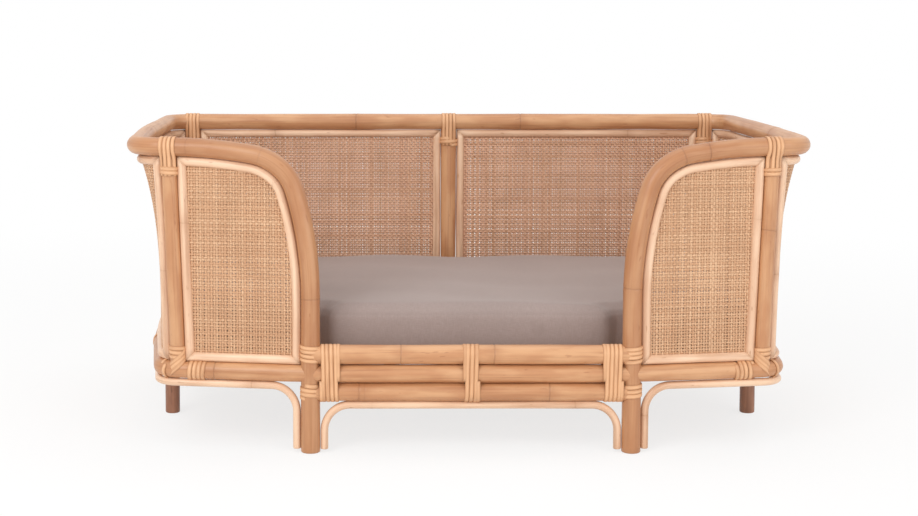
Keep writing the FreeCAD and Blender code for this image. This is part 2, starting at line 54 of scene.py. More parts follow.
# The frame's plan and heights, as the frame itself has them
LEG_X = 200.0
FRONT_Y = -255.0
BACK_Y = 255.0
TOP_Z = 380.0
BASE_Z = 99.0
UPPER_RAIL_Z = 123.0
LOWER_RAIL_Z = 76.0
REAR_POST_X = 392.0
TOE = math.radians(9.0)
POST_REACH = (169.0, 180.0)
BASE_SPLICE = 136.0
TRIM_OFFSET = 17.8
POST_TRIM_OFFSET = 15.8
TRIM_LOW_Z = 115.8
TRIM_HIGH_Z = 362.2
FLARE_POWER = 3.7
BRACE_OFFSET = 17.3
FRONT_BRACE_Z = 59.7
RING_BRACE_Z = 82.7
BRACE_FOOT = 4.0
SIDE_LEG_Y = -44.0
DECK_TOP = 114.0

# A growth ring's line, the bell that the pole swells in and the stain round it, as half widths along the pole
RING_LINE, RING_BELL, RING_STAIN = 0.8, 4.5, 10.0
# How much fuller the stacked front rails are, which press on each other
PRESSED = 0.9
# How much thinner the lowest level strand of the cane is
LOOSE = 0.24
# Half the diameter that a strip over a rail is laid to, and the same for a rail of the base
OVER_RAIL, OVER_BASE = 12.1, 11.6

# Where strip is wound, as distances along the pole
LEG_WRAPS = ((66.0, 88.0), (110.5, 137.0))
POST_WRAP = (11.0, 33.0)
CENTRE_WRAPS = ((38, 49), (71, 82))
SIDE_LEG_WRAP = (78.0, 94.0)
RAIL_WRAP_WIDTH = 26.0

# The cushion's outline: its front, its back, the inner side of its notch, its sides, and its gap to a panel
CUSHION_FRONT = FRONT_Y + 24.0
CUSHION_BACK = BACK_Y - 15.0
NOTCH_X = 178.0
NOTCH_STEP = 16.0
CUSHION_SIDES = (372.0, 394.0)
PANEL_GAP = 45.0
CUSHION_BENDS = (12.0, 10.0, 34.0, 1500.0, 40.0)

# The stage, in metres and watts: name, place, size and power of each lamp, then the camera
LAMPS = (
    ("key", (-1.9, -2.9, 2.3), 2.0, 60.0),
    ("fill", (2.4, -2.6, 1.2), 2.4, 26.0),
    ("top", (0.1, 0.2, 3.2), 2.6, 18.0),
)
CAMERA_PLACE = (-0.15, -2.34, 0.55)
CAMERA_TILT = 90 - 4.2
CAMERA_LENS = 66.5
CAMERA_SHIFT = (0.118, -0.134)
WORLD_LIGHT = 0.72
TOE_RUN = np.array((math.cos(TOE), math.sin(TOE), 0.0))
PANEL_NORMAL = np.array((math.sin(TOE), -math.cos(TOE), 0.0))

# Plan corners of the base rail and the top rail, with the bends between them
BASE_CORNERS = ((388.0, FRONT_Y + 188.0 * math.tan(TOE)), (414.0, 0.0), (414.0, BACK_Y))
TOP_CORNERS = ((422.0, FRONT_Y + 222.0 * math.tan(TOE)), (430.8, 0.0), (426.0, BACK_Y))
BASE_BENDS = (30.0, 1500.0, 30.0)
TOP_BENDS = (46.0, 1500.0, 34.0)


def linear(red, green, blue):
    """A colour written in display values from 0 to 255, as linear light."""
    values = np.array((red, green, blue)) / 255
    return tuple(np.where(values <= 0.04045, values / 12.92, ((values + 0.055) / 1.055) ** 2.4))


def colour(name, description, *values):
    return FloatVectorProperty(
        name=name, description=description, subtype="COLOR", size=3, min=0, max=1, default=linear(*values)
    )


def length(name, description, millimetres):
    return FloatProperty(name=name, description=description, default=millimetres * MM, min=0, unit="LENGTH")


class DaybedSizes(bpy.types.PropertyGroup):
    """Sizes of the poles, strips, cane and cushion."""

    frame_pole: length("Frame pole", "Diameter of the legs, arches, top rail and upper front rail", 24.0)
    base_pole: length("Base pole", "Diameter of the base rail and the lower front rails", 22.0)
    post_pole: length("Outer post", "Diameter of the outer posts and the side legs", 20.0)
    trim_pole: length("Panel trim", "Diameter of the thin poles round each panel", 11.8)
    brace_pole: length("Brace", "Diameter of the curved braces between the legs", 10.0)
    node_gap: length("Node gap", "Usual distance between two growth rings of a pole", 250.0)
    strip_width: length("Strip width", "Width of a binding strip", 5.4)
    strip_thickness: length("Strip thickness", "Thickness of a binding strip at its middle", 1.2)
    weave_pitch: length("Weave pitch", "Distance between two cane strands", 3.6)
    strand_width: length("Strand width", "Width of a cane strand", 3.1)
    strand_thickness: length("Strand thickness", "Thickness of a cane strand", 0.7)
    cushion_height: length("Cushion height", "Height of the cushion at its seam", 56.0)
    cushion_swell: length("Cushion swell", "Furthest that the filling pushes the cover out", 9.0)
    cushion_frames: IntProperty(
        name="Cushion frames", description="Frames that the cushion's cover swells for", default=18, min=2
    )


class DaybedColours(bpy.types.PropertyGroup):
    """Colours of the finishes."""

    pole_light: colour("Pole, light", "Lightest colour of a frame pole", 213, 162, 118)
    pole_mid: colour("Pole, middle", "Usual colour of a frame pole", 196, 140, 97)
    pole_dark: colour("Pole, dark", "Streaks and the skin round a growth ring", 160, 102, 62)
    # The dark line of a growth ring, and also painted shade at the edges of the binding strips and on the
    # side legs
    pole_deep_and_shade: colour("Pole, ring", "The line of a growth ring", 104, 62, 34)
    # Painted shade: the side legs get a darker copy of the pole colours, for the shade they stand in
    leg_shaded_light: colour("Side leg, light", "Lightest colour of the darker side legs", 168, 116, 88)
    leg_shaded_mid: colour("Side leg, middle", "Usual colour of the darker side legs", 140, 92, 68)
    trim_light: colour("Trim, light", "Lightest colour of a thin peeled pole", 240, 204, 172)
    trim_mid: colour("Trim, middle", "Usual colour of a thin peeled pole", 228, 187, 154)
    cane_light: colour("Cane, light", "Lightest strand of the cane", 230, 188, 150)
    cane_mid: colour("Cane, middle", "Usual strand of the cane", 215, 168, 130)
    # The darkest strands, and also the painted shade where a strand goes under another
    cane_dark_and_shade: colour("Cane, dark", "Darkest strand of the cane", 184, 136, 100)
    # Painted light: the back panels' cane is a lighter copy of the cane colours, to make up for the shade
    # inside the basket
    back_brightened_light: colour("Back cane, light", "Lightest strand of the back panels", 236, 190, 158)
    back_brightened_mid: colour("Back cane, middle", "Usual strand of the back panels", 222, 174, 144)
    # Painted highlight: the pale raised middle of a binding strip
    strip_highlight: colour("Strip, light", "Raised middle of a binding strip", 228, 178, 134)
    strip_mid: colour("Strip, middle", "Usual colour of a binding strip", 206, 152, 108)
    cloth: colour("Cloth", "Cushion cover", 164, 146, 140)
    cloth_shade: colour("Cloth, shade", "Cushion cover between its threads and at its seams", 140, 124, 118)
    slat: colour("Slat", "Sawn wood of the deck", 220, 184, 148)
    steel: colour("Steel", "Screws", 170, 168, 162)
    floor: colour("Floor", "Floor under the daybed", 246, 246, 246)


class Signal:
    """One socket of a finish, whose operators add the Math nodes that an expression needs."""

    def __init__(self, finish, socket):
        self.finish = finish
        self.socket = socket

    def __add__(self, other):
        return self.finish.maths("ADD", self, other)

    def __sub__(self, other):
        return self.finish.maths("SUBTRACT", self, other)

    def __mul__(self, other):
        return self.finish.maths("MULTIPLY", self, other)

    def __radd__(self, other):
        return self.finish.maths("ADD", other, self)

    def __rsub__(self, other):
        return self.finish.maths("SUBTRACT", other, self)

    def __rmul__(self, other):
        return self.finish.maths("MULTIPLY", other, self)

    def between(self, low, high):
        """0 at low or less, 1 at high or more, and a smooth step between."""
        settings = {"interpolation_type": "SMOOTHSTEP"}
        sockets = {"Value": self, "From Min": low, "From Max": high}
        return self.finish.node("ShaderNodeMapRange", settings, sockets)


class Finish:
    """The nodes of a material or of the surround."""

    def __init__(self, made):
        self.made = made
        made.use_nodes = True
        self.tree = made.node_tree
        self.tree.nodes.clear()

    def node(self, kind, settings, sockets, out=0):
        """Adds a node: its settings first, then the values or links of its sockets."""
        made = self.tree.nodes.new(kind)
        for key, value in settings.items():
            setattr(made, key, value)
        for key, value in sockets.items():
            if isinstance(value, Signal):
                self.tree.links.new(value.socket, made.inputs[key])
            else:
                made.inputs[key].default_value = value
        return Signal(self, made.outputs[out]) if made.outputs else made

    def maths(self, operation, first, second):
        return self.node("ShaderNodeMath", {"operation": operation}, {0: first, 1: second})

    def stretched(self, vector, *scales):
        """A vector scaled by its own amount along each axis."""
        return self.node("ShaderNodeVectorMath", {"operation": "MULTIPLY"}, {0: vector, 1: scales})

    def noise(self, vector, detail=2.0, rough=0.5):
        sockets = {"Vector": vector, "Scale": 1.0, "Detail": detail, "Roughness": rough}
        return self.node("ShaderNodeTexNoise", {}, sockets)

    def blend(self, share, first, second):
        """A mix of two colours."""
        opaque = [value if isinstance(value, Signal) else (*value, 1.0) for value in (first, second)]
        sockets = {0: share, 6: opaque[0], 7: opaque[1]}
        return self.node("ShaderNodeMix", {"data_type": "RGBA"}, sockets, out=2)

    def attribute(self, name):
        return self.node("ShaderNodeAttribute", {"attribute_name": name}, {}, out="Vector")

    def parts(self, vector):
        """A vector's three numbers."""
        first = self.node("ShaderNodeSeparateXYZ", {}, {0: vector})
        return [Signal(self, socket) for socket in first.socket.node.outputs]

    def object_place(self):
        return self.node("ShaderNodeTexCoord", {}, {}, out="Object")

    def seen(self):
        """1 for a ray from the camera, a gloss or a clear surface, which all show the background."""
        rays = [
            self.node("ShaderNodeLightPath", {}, {}, out=kind)
            for kind in ("Is Camera Ray", "Is Glossy Ray", "Is Transmission Ray")
        ]
        return self.maths("MAXIMUM", self.maths("MAXIMUM", rays[0], rays[1]), rays[2])

    def bump(self, height, strength, distance):
        return self.node("ShaderNodeBump", {}, {"Strength": strength, "Distance": distance, "Height": height})

    def surface(self, base, rough, normal=None, **plain):
        """The shader and the output. Values in plain are the same all over."""
        sockets = {"Base Color": base, "Roughness": rough}
        if normal:
            sockets["Normal"] = normal
        for key, value in plain.items():
            sockets[key.replace("_", " ").title()] = value
        shader = self.node("ShaderNodeBsdfPrincipled", {}, sockets)
        self.node("ShaderNodeOutputMaterial", {}, {"Surface": shader})
        return self.made


def pole_finish(name, light, mid, dark, deep, streak_share):
    """Lacquered rattan skin: streaks along the pole, soft blotches, and a dark line at each growth ring."""
    finish = Finish(bpy.data.materials.new(name))
    grain = finish.attribute("grain")
    groove, halo, tone = finish.parts(finish.attribute("marks_and_shade"))
    streaks = finish.noise(finish.stretched(grain, 9, 420, 420), 4.0, 0.6)
    blotches = finish.noise(finish.stretched(grain, 14, 55, 55), 3.0)
    bands = finish.noise(finish.stretched(grain, 5, 130, 130), 2.0)
    base = finish.blend(blotches.between(0.36, 0.64), mid, light)
    base = finish.blend(bands.between(0.48, 0.7) * 0.42, base, dark)
    base = finish.blend(tone.between(0.3, 1.0) * 0.42, base, dark)
    base = finish.blend(streaks.between(0.5, 0.78) * streak_share, base, dark)
    base = finish.blend(halo * (0.1 + blotches * 0.4), base, dark)
    flecks = finish.noise(finish.stretched(grain, 60, 260, 260), 1.0)
    base = finish.blend(flecks.between(0.7, 0.78) * 0.5, base, dark)
    base = finish.blend(groove * (0.2 + blotches * 0.5), base, deep)
    normal = finish.bump(streaks - groove * 0.6, 0.35, 0.0005)
    rough = 0.34 + streaks * 0.22
    return finish.surface(base, rough, normal, coat_weight=0.22, coat_roughness=0.25)


def strip_finish(name, light, mid, dark, deep):
    """Split rattan strip: a painted highlight on its raised middle, fine fibres along it, and painted shade
    where its edge meets the next.
    """
    finish = Finish(bpy.data.materials.new(name))
    grain = finish.attribute("grain")
    edge, _, tone = finish.parts(finish.attribute("marks_and_shade"))
    fibres = finish.noise(finish.stretched(grain, 12, 900, 900), 4.0, 0.6)
    blotches = finish.noise(finish.stretched(grain, 22, 120, 120), 2.0)
    # Painted highlight: the light colour in the strip's middle, going to the usual colour at its edges
    base = finish.blend(edge.between(0.2, 0.9), light, mid)
    base = finish.blend(blotches.between(0.42, 0.7) * 0.35, base, dark)
    base = finish.blend(tone.between(0.5, 1.0) * 0.35, base, mid)
    base = finish.blend(fibres.between(0.52, 0.8) * 0.4, base, dark)
    # Painted shade: darker at the strip's edges, in the crevice where it meets the next strip
    base = finish.blend(edge.between(0.88, 1.0) * 0.35, base, deep)
    normal = finish.bump(fibres, 0.35, 0.0004)
    return finish.surface(base, 0.4 + fibres * 0.2, normal, coat_weight=0.15, coat_roughness=0.3)


def cane_finish(name, light, mid, dark):
    """Woven cane: every strand has its own tone, with fibres along it, and painted shade where it goes under.
    """
    finish = Finish(bpy.data.materials.new(name))
    grain = finish.attribute("grain")
    _, depth, tone = finish.parts(finish.attribute("marks_and_shade"))
    fibres = finish.noise(finish.stretched(grain, 25, 1100, 1100), 3.0, 0.6)
    patches = finish.noise(finish.stretched(finish.object_place(), 16, 16, 16), 2.0)
    base = finish.blend(tone.between(0.15, 0.75), mid, light)
    base = finish.blend(tone.between(0.78, 1.0) * 0.6, base, dark)
    base = finish.blend(patches.between(0.4, 0.65) * 0.25, base, dark)
    base = finish.blend(fibres.between(0.45, 0.8) * 0.3, base, dark)
    # Painted shade: darker where the strand goes under the crossing strand
    base = finish.blend(depth * 0.28, base, dark)
    normal = finish.bump(fibres, 0.4, 0.0003)
    return finish.surface(base, 0.5 + fibres * 0.2, normal)


def cloth_finish(name, cloth, shade):
    """A close plain-woven cover: crossing threads, slubs, faint mottling, and painted shade along the seams.
    """
    finish = Finish(bpy.data.materials.new(name))
    place = finish.attribute("grain")
    seam = finish.parts(finish.attribute("marks_and_shade"))[0]
    warp = finish.noise(finish.stretched(place, 160, 2600, 2600), 2.0)
    weft = finish.noise(finish.stretched(place, 2600, 160, 160), 2.0)
    slubs = finish.noise(finish.stretched(place, 30, 900, 30), 2.0)
    mottle = finish.noise(finish.stretched(place, 9, 9, 9), 3.0)
    threads = warp * 0.5 + weft * 0.5
    base = finish.blend(threads.between(0.35, 0.65) * 0.55, cloth, shade)
    base = finish.blend(mottle.between(0.4, 0.7) * 0.18, base, shade)
    base = finish.blend(slubs.between(0.62, 0.75) * 0.25, base, shade)
    # Painted shade: darker along the seams, where the cover is drawn in
    base = finish.blend(seam * 0.35, base, shade)
    normal = finish.bump(threads, 0.5, 0.0006)
    return finish.surface(base, 0.82 + threads * 0.12, normal, sheen_weight=0.25, sheen_roughness=0.5)


def wood_finish(name, light, dark, scales):
    """Sawn wood on the frame's own pieces, with its grain along the scales' smallest axis."""
    finish = Finish(bpy.data.materials.new(name))
    place = finish.object_place()
    rings = finish.noise(finish.stretched(place, *scales), 4.0, 0.6)
    cloud = finish.noise(finish.stretched(place, 5, 9, 9), 2.0)
    base = finish.blend(rings.between(0.4, 0.7) * 0.7, light, dark)
    base = finish.blend(cloud.between(0.4, 0.7) * 0.3, base, dark)
    return finish.surface(base, 0.5 + rings * 0.2, finish.bump(rings, 0.3, 0.0005))


def steel_finish(name, steel):
    """Plated screw steel with faint smears."""
    finish = Finish(bpy.data.materials.new(name))
    smears = finish.noise(finish.stretched(finish.object_place(), 300, 300, 300), 3.0)
    base = finish.blend(smears * 0.3, steel, [value * 0.6 for value in steel])
    return finish.surface(base, 0.3 + smears * 0.2, finish.bump(smears, 0.1, 0.0002), metallic=1.0)


def unit(vectors):
    """Vectors scaled to a length of one."""
    return vectors / np.linalg.norm(vectors, axis=-1, keepdims=True)


def mix(low, high, share):
    return low + (high - low) * share


def vector(x, y, z):
    return np.array((x, y, z), float)


class Route:
    """Straight runs joined by tangent arcs.

    A distance d along a run the point is start + d ahead, and along an arc of radius r it is
    start + r sin(d / r) ahead + r (1 - cos(d / r)) inward.
    """

    def __init__(self, points, bends=()):
        points = np.asarray(points, float)
        headings = unit(np.diff(points, axis=0))
        here = points[0]
        runs = []
        for corner, before, after, radius in zip(points[1:-1], headings[:-1], headings[1:], bends):
            turn = math.acos(np.clip(before @ after, -1, 1))
            if turn < 1e-5:
                continue
            reach = radius * math.tan(turn / 2)
            bend_start = corner - before * reach
            inward = unit(after - before * (before @ after))
            runs.append((here, before, inward, np.linalg.norm(bend_start - here), 0.0))
            runs.append((bend_start, before, inward, radius * turn, 1 / radius))
            here = corner + after * reach
        runs.append((here, headings[-1], headings[-1], np.linalg.norm(points[-1] - here), 0.0))
        self.start, self.ahead, self.inward, self.size, self.curve = (np.array(row) for row in zip(*runs))
        self.mark = np.concatenate(([0.0], np.cumsum(self.size)))
        self.length = self.mark[-1]

    def at(self, lengths):
        """Points and headings at these lengths, straight on past either end."""
        lengths = np.atleast_1d(np.asarray(lengths, float))
        piece = np.clip(np.searchsorted(self.mark, lengths, side="right") - 1, 0, len(self.size) - 1)
        distance = (lengths - self.mark[piece])[:, None]
        curve = self.curve[piece][:, None]
        bend = np.where(curve > 0, curve, 1.0)
        angle = distance * curve
        run = np.where(curve > 0, np.sin(angle) / bend, distance)
        rise = np.where(curve > 0, (1 - np.cos(angle)) / bend, 0.0)
        points = self.start[piece] + self.ahead[piece] * run + self.inward[piece] * rise
        return points, self.ahead[piece] * np.cos(angle) + self.inward[piece] * np.sin(angle)

    def first_length(self, test, start=0.0):
        """The shortest length past start at which test(points) holds."""
        lengths = np.arange(start, self.length + 1, 0.05)
        return lengths[np.argmax(test(self.at(lengths)[0]))]


class Beside:
    """A route kept to one side of another: point + amount (ahead x normal)."""

    def __init__(self, route, amount, normal):
        self.route = route
        self.amount = amount
        self.normal = normal

    def at(self, lengths):
        points, ahead = self.route.at(lengths)
        return points + np.cross(ahead, self.normal) * self.amount, ahead


class Skin:
    """Gathers the faces of one piece, with the attributes that its finish reads."""

    def __init__(self):
        self.points = []
        self.grain = []
        # Per point: real marks and tone, and the masks that the finishes use for painted shade and highlight
        self.marks_and_shade = []
        self.quads = []
        self.threes = []
        self.count = 0

    def add(self, points, grain, marks_and_shade, quads=(), threes=()):
        """Points of any grid shape, and faces that count from this call's first point."""
        points = points.reshape(-1, 3)
        self.points.append(points)
        self.grain.append(grain.reshape(-1, 3))
        self.marks_and_shade.append(np.broadcast_to(marks_and_shade, (*marks_and_shade.shape[:-1], 3)).reshape(-1, 3))
        for faces, kept, corners in ((quads, self.quads, 4), (threes, self.threes, 3)):
            if len(faces):
                kept.append(np.asarray(faces).reshape(-1, corners) + self.count)
        self.count += len(points)

    def rings(self, points, grain, marks_and_shade):
        """A closed tube through rings of points, its two ends closed with a fan round a middle point."""
        count, sides = points.shape[:2]
        index = np.arange(count * sides).reshape(count, sides)
        following = np.roll(index, -1, axis=1)
        quads = np.stack([index[:-1], following[:-1], following[1:], index[1:]], axis=-1)
        low = np.full(sides, count * sides)
        threes = [
            np.stack([low, following[0], index[0]], axis=-1),
            np.stack([low + 1, index[-1], following[-1]], axis=-1),
        ]
        ends = [array[[0, -1]].mean(axis=1) for array in (points, grain, marks_and_shade)]
        joined = [
            np.concatenate([array.reshape(-1, 3), end]) for array, end in zip((points, grain, marks_and_shade), ends)
        ]
        self.add(*joined, quads=quads, threes=np.concatenate(threes))

    def build(self, name, material, mirrored=False):
        """One mesh object at the origin. A mirrored piece has its faces turned to point outwards again."""
        points = np.concatenate(self.points) * MM
        faces = [np.concatenate(kept) for kept in (self.quads, self.threes) if kept]
        if mirrored:
            points = points * (-1, 1, 1)
            faces = [block[:, ::-1] for block in faces]
        sizes = np.concatenate([np.full(len(block), block.shape[1]) for block in faces])
        corners = np.concatenate([block.ravel() for block in faces])
        mesh = bpy.data.meshes.new(name)
        mesh.vertices.add(len(points))
        mesh.vertices.foreach_set("co", points.ravel().astype(np.float32))
        mesh.loops.add(len(corners))
        mesh.loops.foreach_set("vertex_index", corners.astype(np.int32))
        mesh.polygons.add(len(sizes))
        mesh.polygons.foreach_set("loop_start", (np.cumsum(sizes) - sizes).astype(np.int32))
        mesh.polygons.foreach_set("use_smooth", np.ones(len(sizes), bool))
        for label, rows in (("grain", self.grain), ("marks_and_shade", self.marks_and_shade)):
            layer = mesh.attributes.new(label, "FLOAT_VECTOR", "POINT")
            layer.data.foreach_set("vector", np.concatenate(rows).ravel().astype(np.float32))
        mesh.update(calc_edges=True)
        mesh.validate()
        mesh.materials.append(material)
        made = bpy.data.objects.new(name, mesh)
        bpy.context.scene.collection.objects.link(made)
        return made


def put(skin, node, kind, mirrored=False):
    """Makes the piece that stands for a node, in the finish of that kind, and lets it ride on the frame."""
    made = skin.build("visual_" + node, finish_for(kind), mirrored)
    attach(made, "frame")
    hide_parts(node)


def sweep_frame(ahead, across):
    """Two directions square to the heading: the one nearest to across, and ahead x that one."""
    side = unit(across - ahead * np.sum(across * ahead, axis=-1, keepdims=True))
    return side, np.cross(ahead, side)


def growth_rings(chance, start, end, gap):
    """Places along a pole, at uneven distances."""
    places = start + chance.uniform(0.1, 0.9) * gap + np.cumsum(chance.uniform(0.7, 1.3, 40) * gap) - gap
    return places[(places > start + 14) & (places < end - 14)]


def pole(
    skin, route, start, end, diameter, across, seed, gap, sides=22, swell=0.45,
    cuts=(None, None), extra=(), tone=None,
):
    """A rattan pole: axis + r (cos a side + sin a up).

    r is half the diameter, less a slow wave, plus a bell of `swell` at each growth ring and less a narrow
    bell for the ring's line. A cut moves the end ring along the heading on to the plane square to it.
    """
    chance = np.random.default_rng(seed)
    radius = diameter / 2
    places = np.concatenate([growth_rings(chance, start, end, gap), extra])
    step = min(6.0, diameter / 3)
    stations = np.arange(start, end, step)
    near = np.array((-9, -6, -4, -2.6, -1.5, -0.8, 0, 0.8, 1.5, 2.6, 4, 6, 9.0))
    stations = np.concatenate([stations, (places[:, None] + near).ravel()])
    low = start + (radius * 1.25 if cuts[0] is not None else 2.0)
    high = end - (radius * 1.25 if cuts[1] is not None else 2.0)
    stations = stations[(stations > low) & (stations < high)]
    ends = [[start], [end]]
    if cuts[0] is None:
        ends[0] = [start, start + 0.5, start + 1.6]
    if cuts[1] is None:
        ends[1] = [end - 1.6, end - 0.5, end]
    stations = np.sort(np.concatenate([stations, *ends]))
    stations = stations[np.concatenate(([True], np.diff(stations) > 0.2))]
    points, ahead = route.at(stations)
    side, up = sweep_frame(ahead, across)
    angle = np.linspace(0, 2 * np.pi, sides, endpoint=False)
    tilt = 0.5 * np.cos(angle + chance.uniform(0, 6.28))
    gone = stations[:, None, None] - places[None, None, :] - tilt[None, :, None]
    strength = chance.uniform(0.15, 1.0, len(places))
    groove, bulge, halo = (
        (np.exp(-((gone / half) ** 2)) * strength).sum(axis=-1) for half in (RING_LINE, RING_BELL, RING_STAIN)
    )
    wave = 0.012 * np.sin(stations / 47 + chance.uniform(0, 6))
    wave = wave + 0.008 * np.sin(stations / 19 + chance.uniform(0, 6))
    oval = 0.012 * np.cos(2 * angle + chance.uniform(0, 6))
    scale = radius / 12
    reach = radius * (1 - 0.012 + wave[:, None] + oval[None, :])
    reach = reach + scale * (0.7 * swell * bulge - 0.6 * groove)
    if cuts[0] is None:
        reach[:2] -= np.array((1.3, 0.45))[:, None] * scale
    if cuts[1] is None:
        reach[-2:] -= np.array((0.45, 1.3))[:, None] * scale
    round_ = np.cos(angle)[None, :, None] * side[:, None] + np.sin(angle)[None, :, None] * up[:, None]
    rings = points[:, None] + round_ * reach[..., None]
    for place, cut in ((0, cuts[0]), (-1, cuts[1])):
        if cut is not None:
            depth = (points[place] - rings[place]) @ cut / (ahead[place] @ cut)
            rings[place] += depth[:, None] * ahead[place]
    shift = chance.uniform(0, 40, 3)
    along = np.broadcast_to(stations[:, None], reach.shape)
    grain = np.stack([along, reach * np.cos(angle), reach * np.sin(angle)], axis=-1) * MM + shift
    tone = np.full(reach.shape, chance.uniform(0.1, 0.55) if tone is None else tone)
    skin.rings(rings, grain, np.stack([groove, halo, tone], axis=-1))


STRIP = np.array(
    ((0.5, 0), (0.47, 0.45), (0.3, 0.85), (0, 1.0), (-0.3, 0.85), (-0.47, 0.45), (-0.5, 0), (0, -0.25))
)


def strip(skin, points, outward, width, thickness, chance):
    """A half-round strip along a curve: point + a across + b out, where (a, b) goes round a flat arch."""
    ahead = unit(np.gradient(points, axis=0))
    across = unit(np.cross(outward, ahead))
    out = np.cross(ahead, across)
    wide = STRIP[:, 0] * width * chance.uniform(0.94, 1.03)
    tall = STRIP[:, 1] * thickness
    rings = points[:, None] + across[:, None] * wide[:, None] + out[:, None] * tall[:, None]
    run = np.concatenate(([0.0], np.cumsum(np.linalg.norm(np.diff(points, axis=0), axis=1))))
    shape = rings.shape[:2]
    along = np.broadcast_to(run[:, None], shape)
    grain = np.stack([along, np.broadcast_to(wide, shape), np.broadcast_to(tall, shape)], axis=-1) * MM
    # 0 at a strip's middle and 1 at its edges; the finish paints a highlight in the middle and shade at the
    # edges
    edge = np.broadcast_to(np.abs(STRIP[:, 0]) * 2, shape)
    marks_and_shade = np.stack([edge, np.zeros(shape), np.full(shape, chance.uniform(0, 1))], axis=-1)
    skin.rings(rings, grain + chance.uniform(0, 40, 3), marks_and_shade)


def coil(skin, route, start, end, radius, across, chance, sizes, per_turn=22):
    """Strip wound round a pole, a turn at a time: axis + r (cos a side + sin a up), with the axis a strip's
    width further on each turn, and both ends of the strip tucked in."""
    width, thickness = sizes
    turns = max(2, round((end - start) / width))
    pitch = (end - start) / turns
    angle = np.linspace(0, 2 * np.pi * (turns - 1), per_turn * (turns - 1) + 1)
    first = chance.uniform(0, 6.28)
    places = start + pitch / 2 + pitch * angle / (2 * np.pi)
    places = places + 0.18 * np.sin(angle * 0.37 + first)
    points, ahead = route.at(places)
    side, up = sweep_frame(ahead, across)
    tuck = np.minimum(np.minimum(angle, angle[-1] - angle) / 0.7, 1.0)
    reach = radius - thickness * 0.9 * (1 - tuck)
    turned = angle + first
    out = np.cos(turned)[:, None] * side + np.sin(turned)[:, None] * up
    strip(skin, points + out * reach[:, None], out, pitch * 1.02, thickness, chance)


def stack_coil(skin, start_x, end_x, chance, sizes):
    """Strip wound round the three stacked rails: up the front, over, down the back and under, each turn a
    strip's width further along."""
    width, thickness = sizes
    turns = round((end_x - start_x) / width)
    pitch = (end_x - start_x) / turns
    high = np.linspace(LOWER_RAIL_Z, UPPER_RAIL_Z, 7)
    bow = 0.9 * np.sin(np.linspace(0, 2 * np.pi, 7)) ** 2
    over = np.linspace(np.pi, 0, 11)[1:-1]
    under = np.linspace(0, -np.pi, 11)[1:-1]
    top, low = OVER_RAIL, OVER_BASE
    y = np.concatenate([-mix(low, top, np.linspace(0, 1, 7)) + bow, top * np.cos(over)])
    z = np.concatenate([high, UPPER_RAIL_Z + top * np.sin(over)])
    y = np.concatenate([y, mix(top, low, np.linspace(0, 1, 7)) - bow, low * np.cos(under)])
    z = np.concatenate([z, high[::-1], LOWER_RAIL_Z + low * np.sin(under)])
    out_y = np.concatenate([np.full(7, -1.0), np.cos(over), np.full(7, 1.0), np.cos(under)])
    out_z = np.concatenate([np.zeros(7), np.sin(over), np.zeros(7), np.sin(under)])
    count = len(y)
    order = np.arange(count * turns + 1) + 2
    x = start_x + pitch / 2 + pitch * np.clip((order - 2) / count - 0.5, 0, turns - 1)
    x = x + 0.15 * np.sin(order * 0.21 + chance.uniform(0, 6))
    pick = order % count
    points = np.stack([x, FRONT_Y + y[pick], z[pick]], axis=-1)
    out = np.stack([np.zeros(len(pick)), out_y[pick], out_z[pick]], axis=-1)
    strip(skin, points, out, pitch * 1.02, thickness, chance)


def saddle(skin, rail_point, rail_run, post_run, post_radius, chance, sizes, strands=4, reach=36.0):
    """Strips laid side by side over the rail and down the front and back of the post, held by a coil.

    Below the rail a strip lies at depth sqrt(r^2 - a^2) on the post, a to the side of its middle, and
    comes out to the rail's radius by the height of its axis. Over the rail it is half a circle.
    """
    width, thickness = sizes
    front = np.cross(rail_run, post_run)
    low = np.linspace(-reach, -1.5, 10)
    over = np.linspace(0, np.pi, 15)
    rise = np.clip((low + 17) / 16, 0, 1)
    rise = rise * rise * (3 - 2 * rise)
    for place in range(strands):
        offset = (place - (strands - 1) / 2) * width * 0.99 + chance.uniform(-0.2, 0.2)
        beside = np.sqrt(max((post_radius + 0.2) ** 2 - offset ** 2, 9.0))
        depth = mix(beside, OVER_RAIL, rise)
        lean = offset / post_radius * (1 - rise)
        d = np.concatenate([depth, OVER_RAIL * np.cos(over), -depth[::-1]])
        h = np.concatenate([low, OVER_RAIL * np.sin(over), low[::-1]])
        out_a = np.concatenate([lean, np.zeros(15), lean[::-1]])
        out_d = np.concatenate([np.ones(10), np.cos(over), -np.ones(10)])
        out_h = np.concatenate([np.zeros(10), np.sin(over), np.zeros(10)])
        points = rail_point + offset * rail_run + d[:, None] * front + h[:, None] * post_run
        out = unit(out_a[:, None] * rail_run + out_d[:, None] * front + out_h[:, None] * post_run)
        strip(skin, points, out, width, thickness, chance)
    axis = Route([rail_point - post_run * (reach + 2), rail_point])
    coil(skin, axis, 0.0, 3 * width, post_radius + thickness * 0.75, rail_run, chance, sizes)


def slanted(skin, foot, post_run, rail_run, low_radius, high_radius, low, high, chance, sizes):
    """Three strips slanting over the front of a joint: each turns half way round the post as it climbs."""
    width, thickness = sizes
    climb = np.linspace(0, 1, 16)
    front = np.cross(rail_run, post_run)
    for step in (-1.02, 0, 1.02):
        angle = mix(1.5, -1.5, climb)
        radius = mix(low_radius, high_radius, climb)
        out = np.sin(angle)[:, None] * rail_run + np.cos(angle)[:, None] * front
        points = foot + (mix(low, high, climb) + step * width)[:, None] * post_run + out * radius[:, None]
        strip(skin, points, out, width, thickness * 0.5, chance)


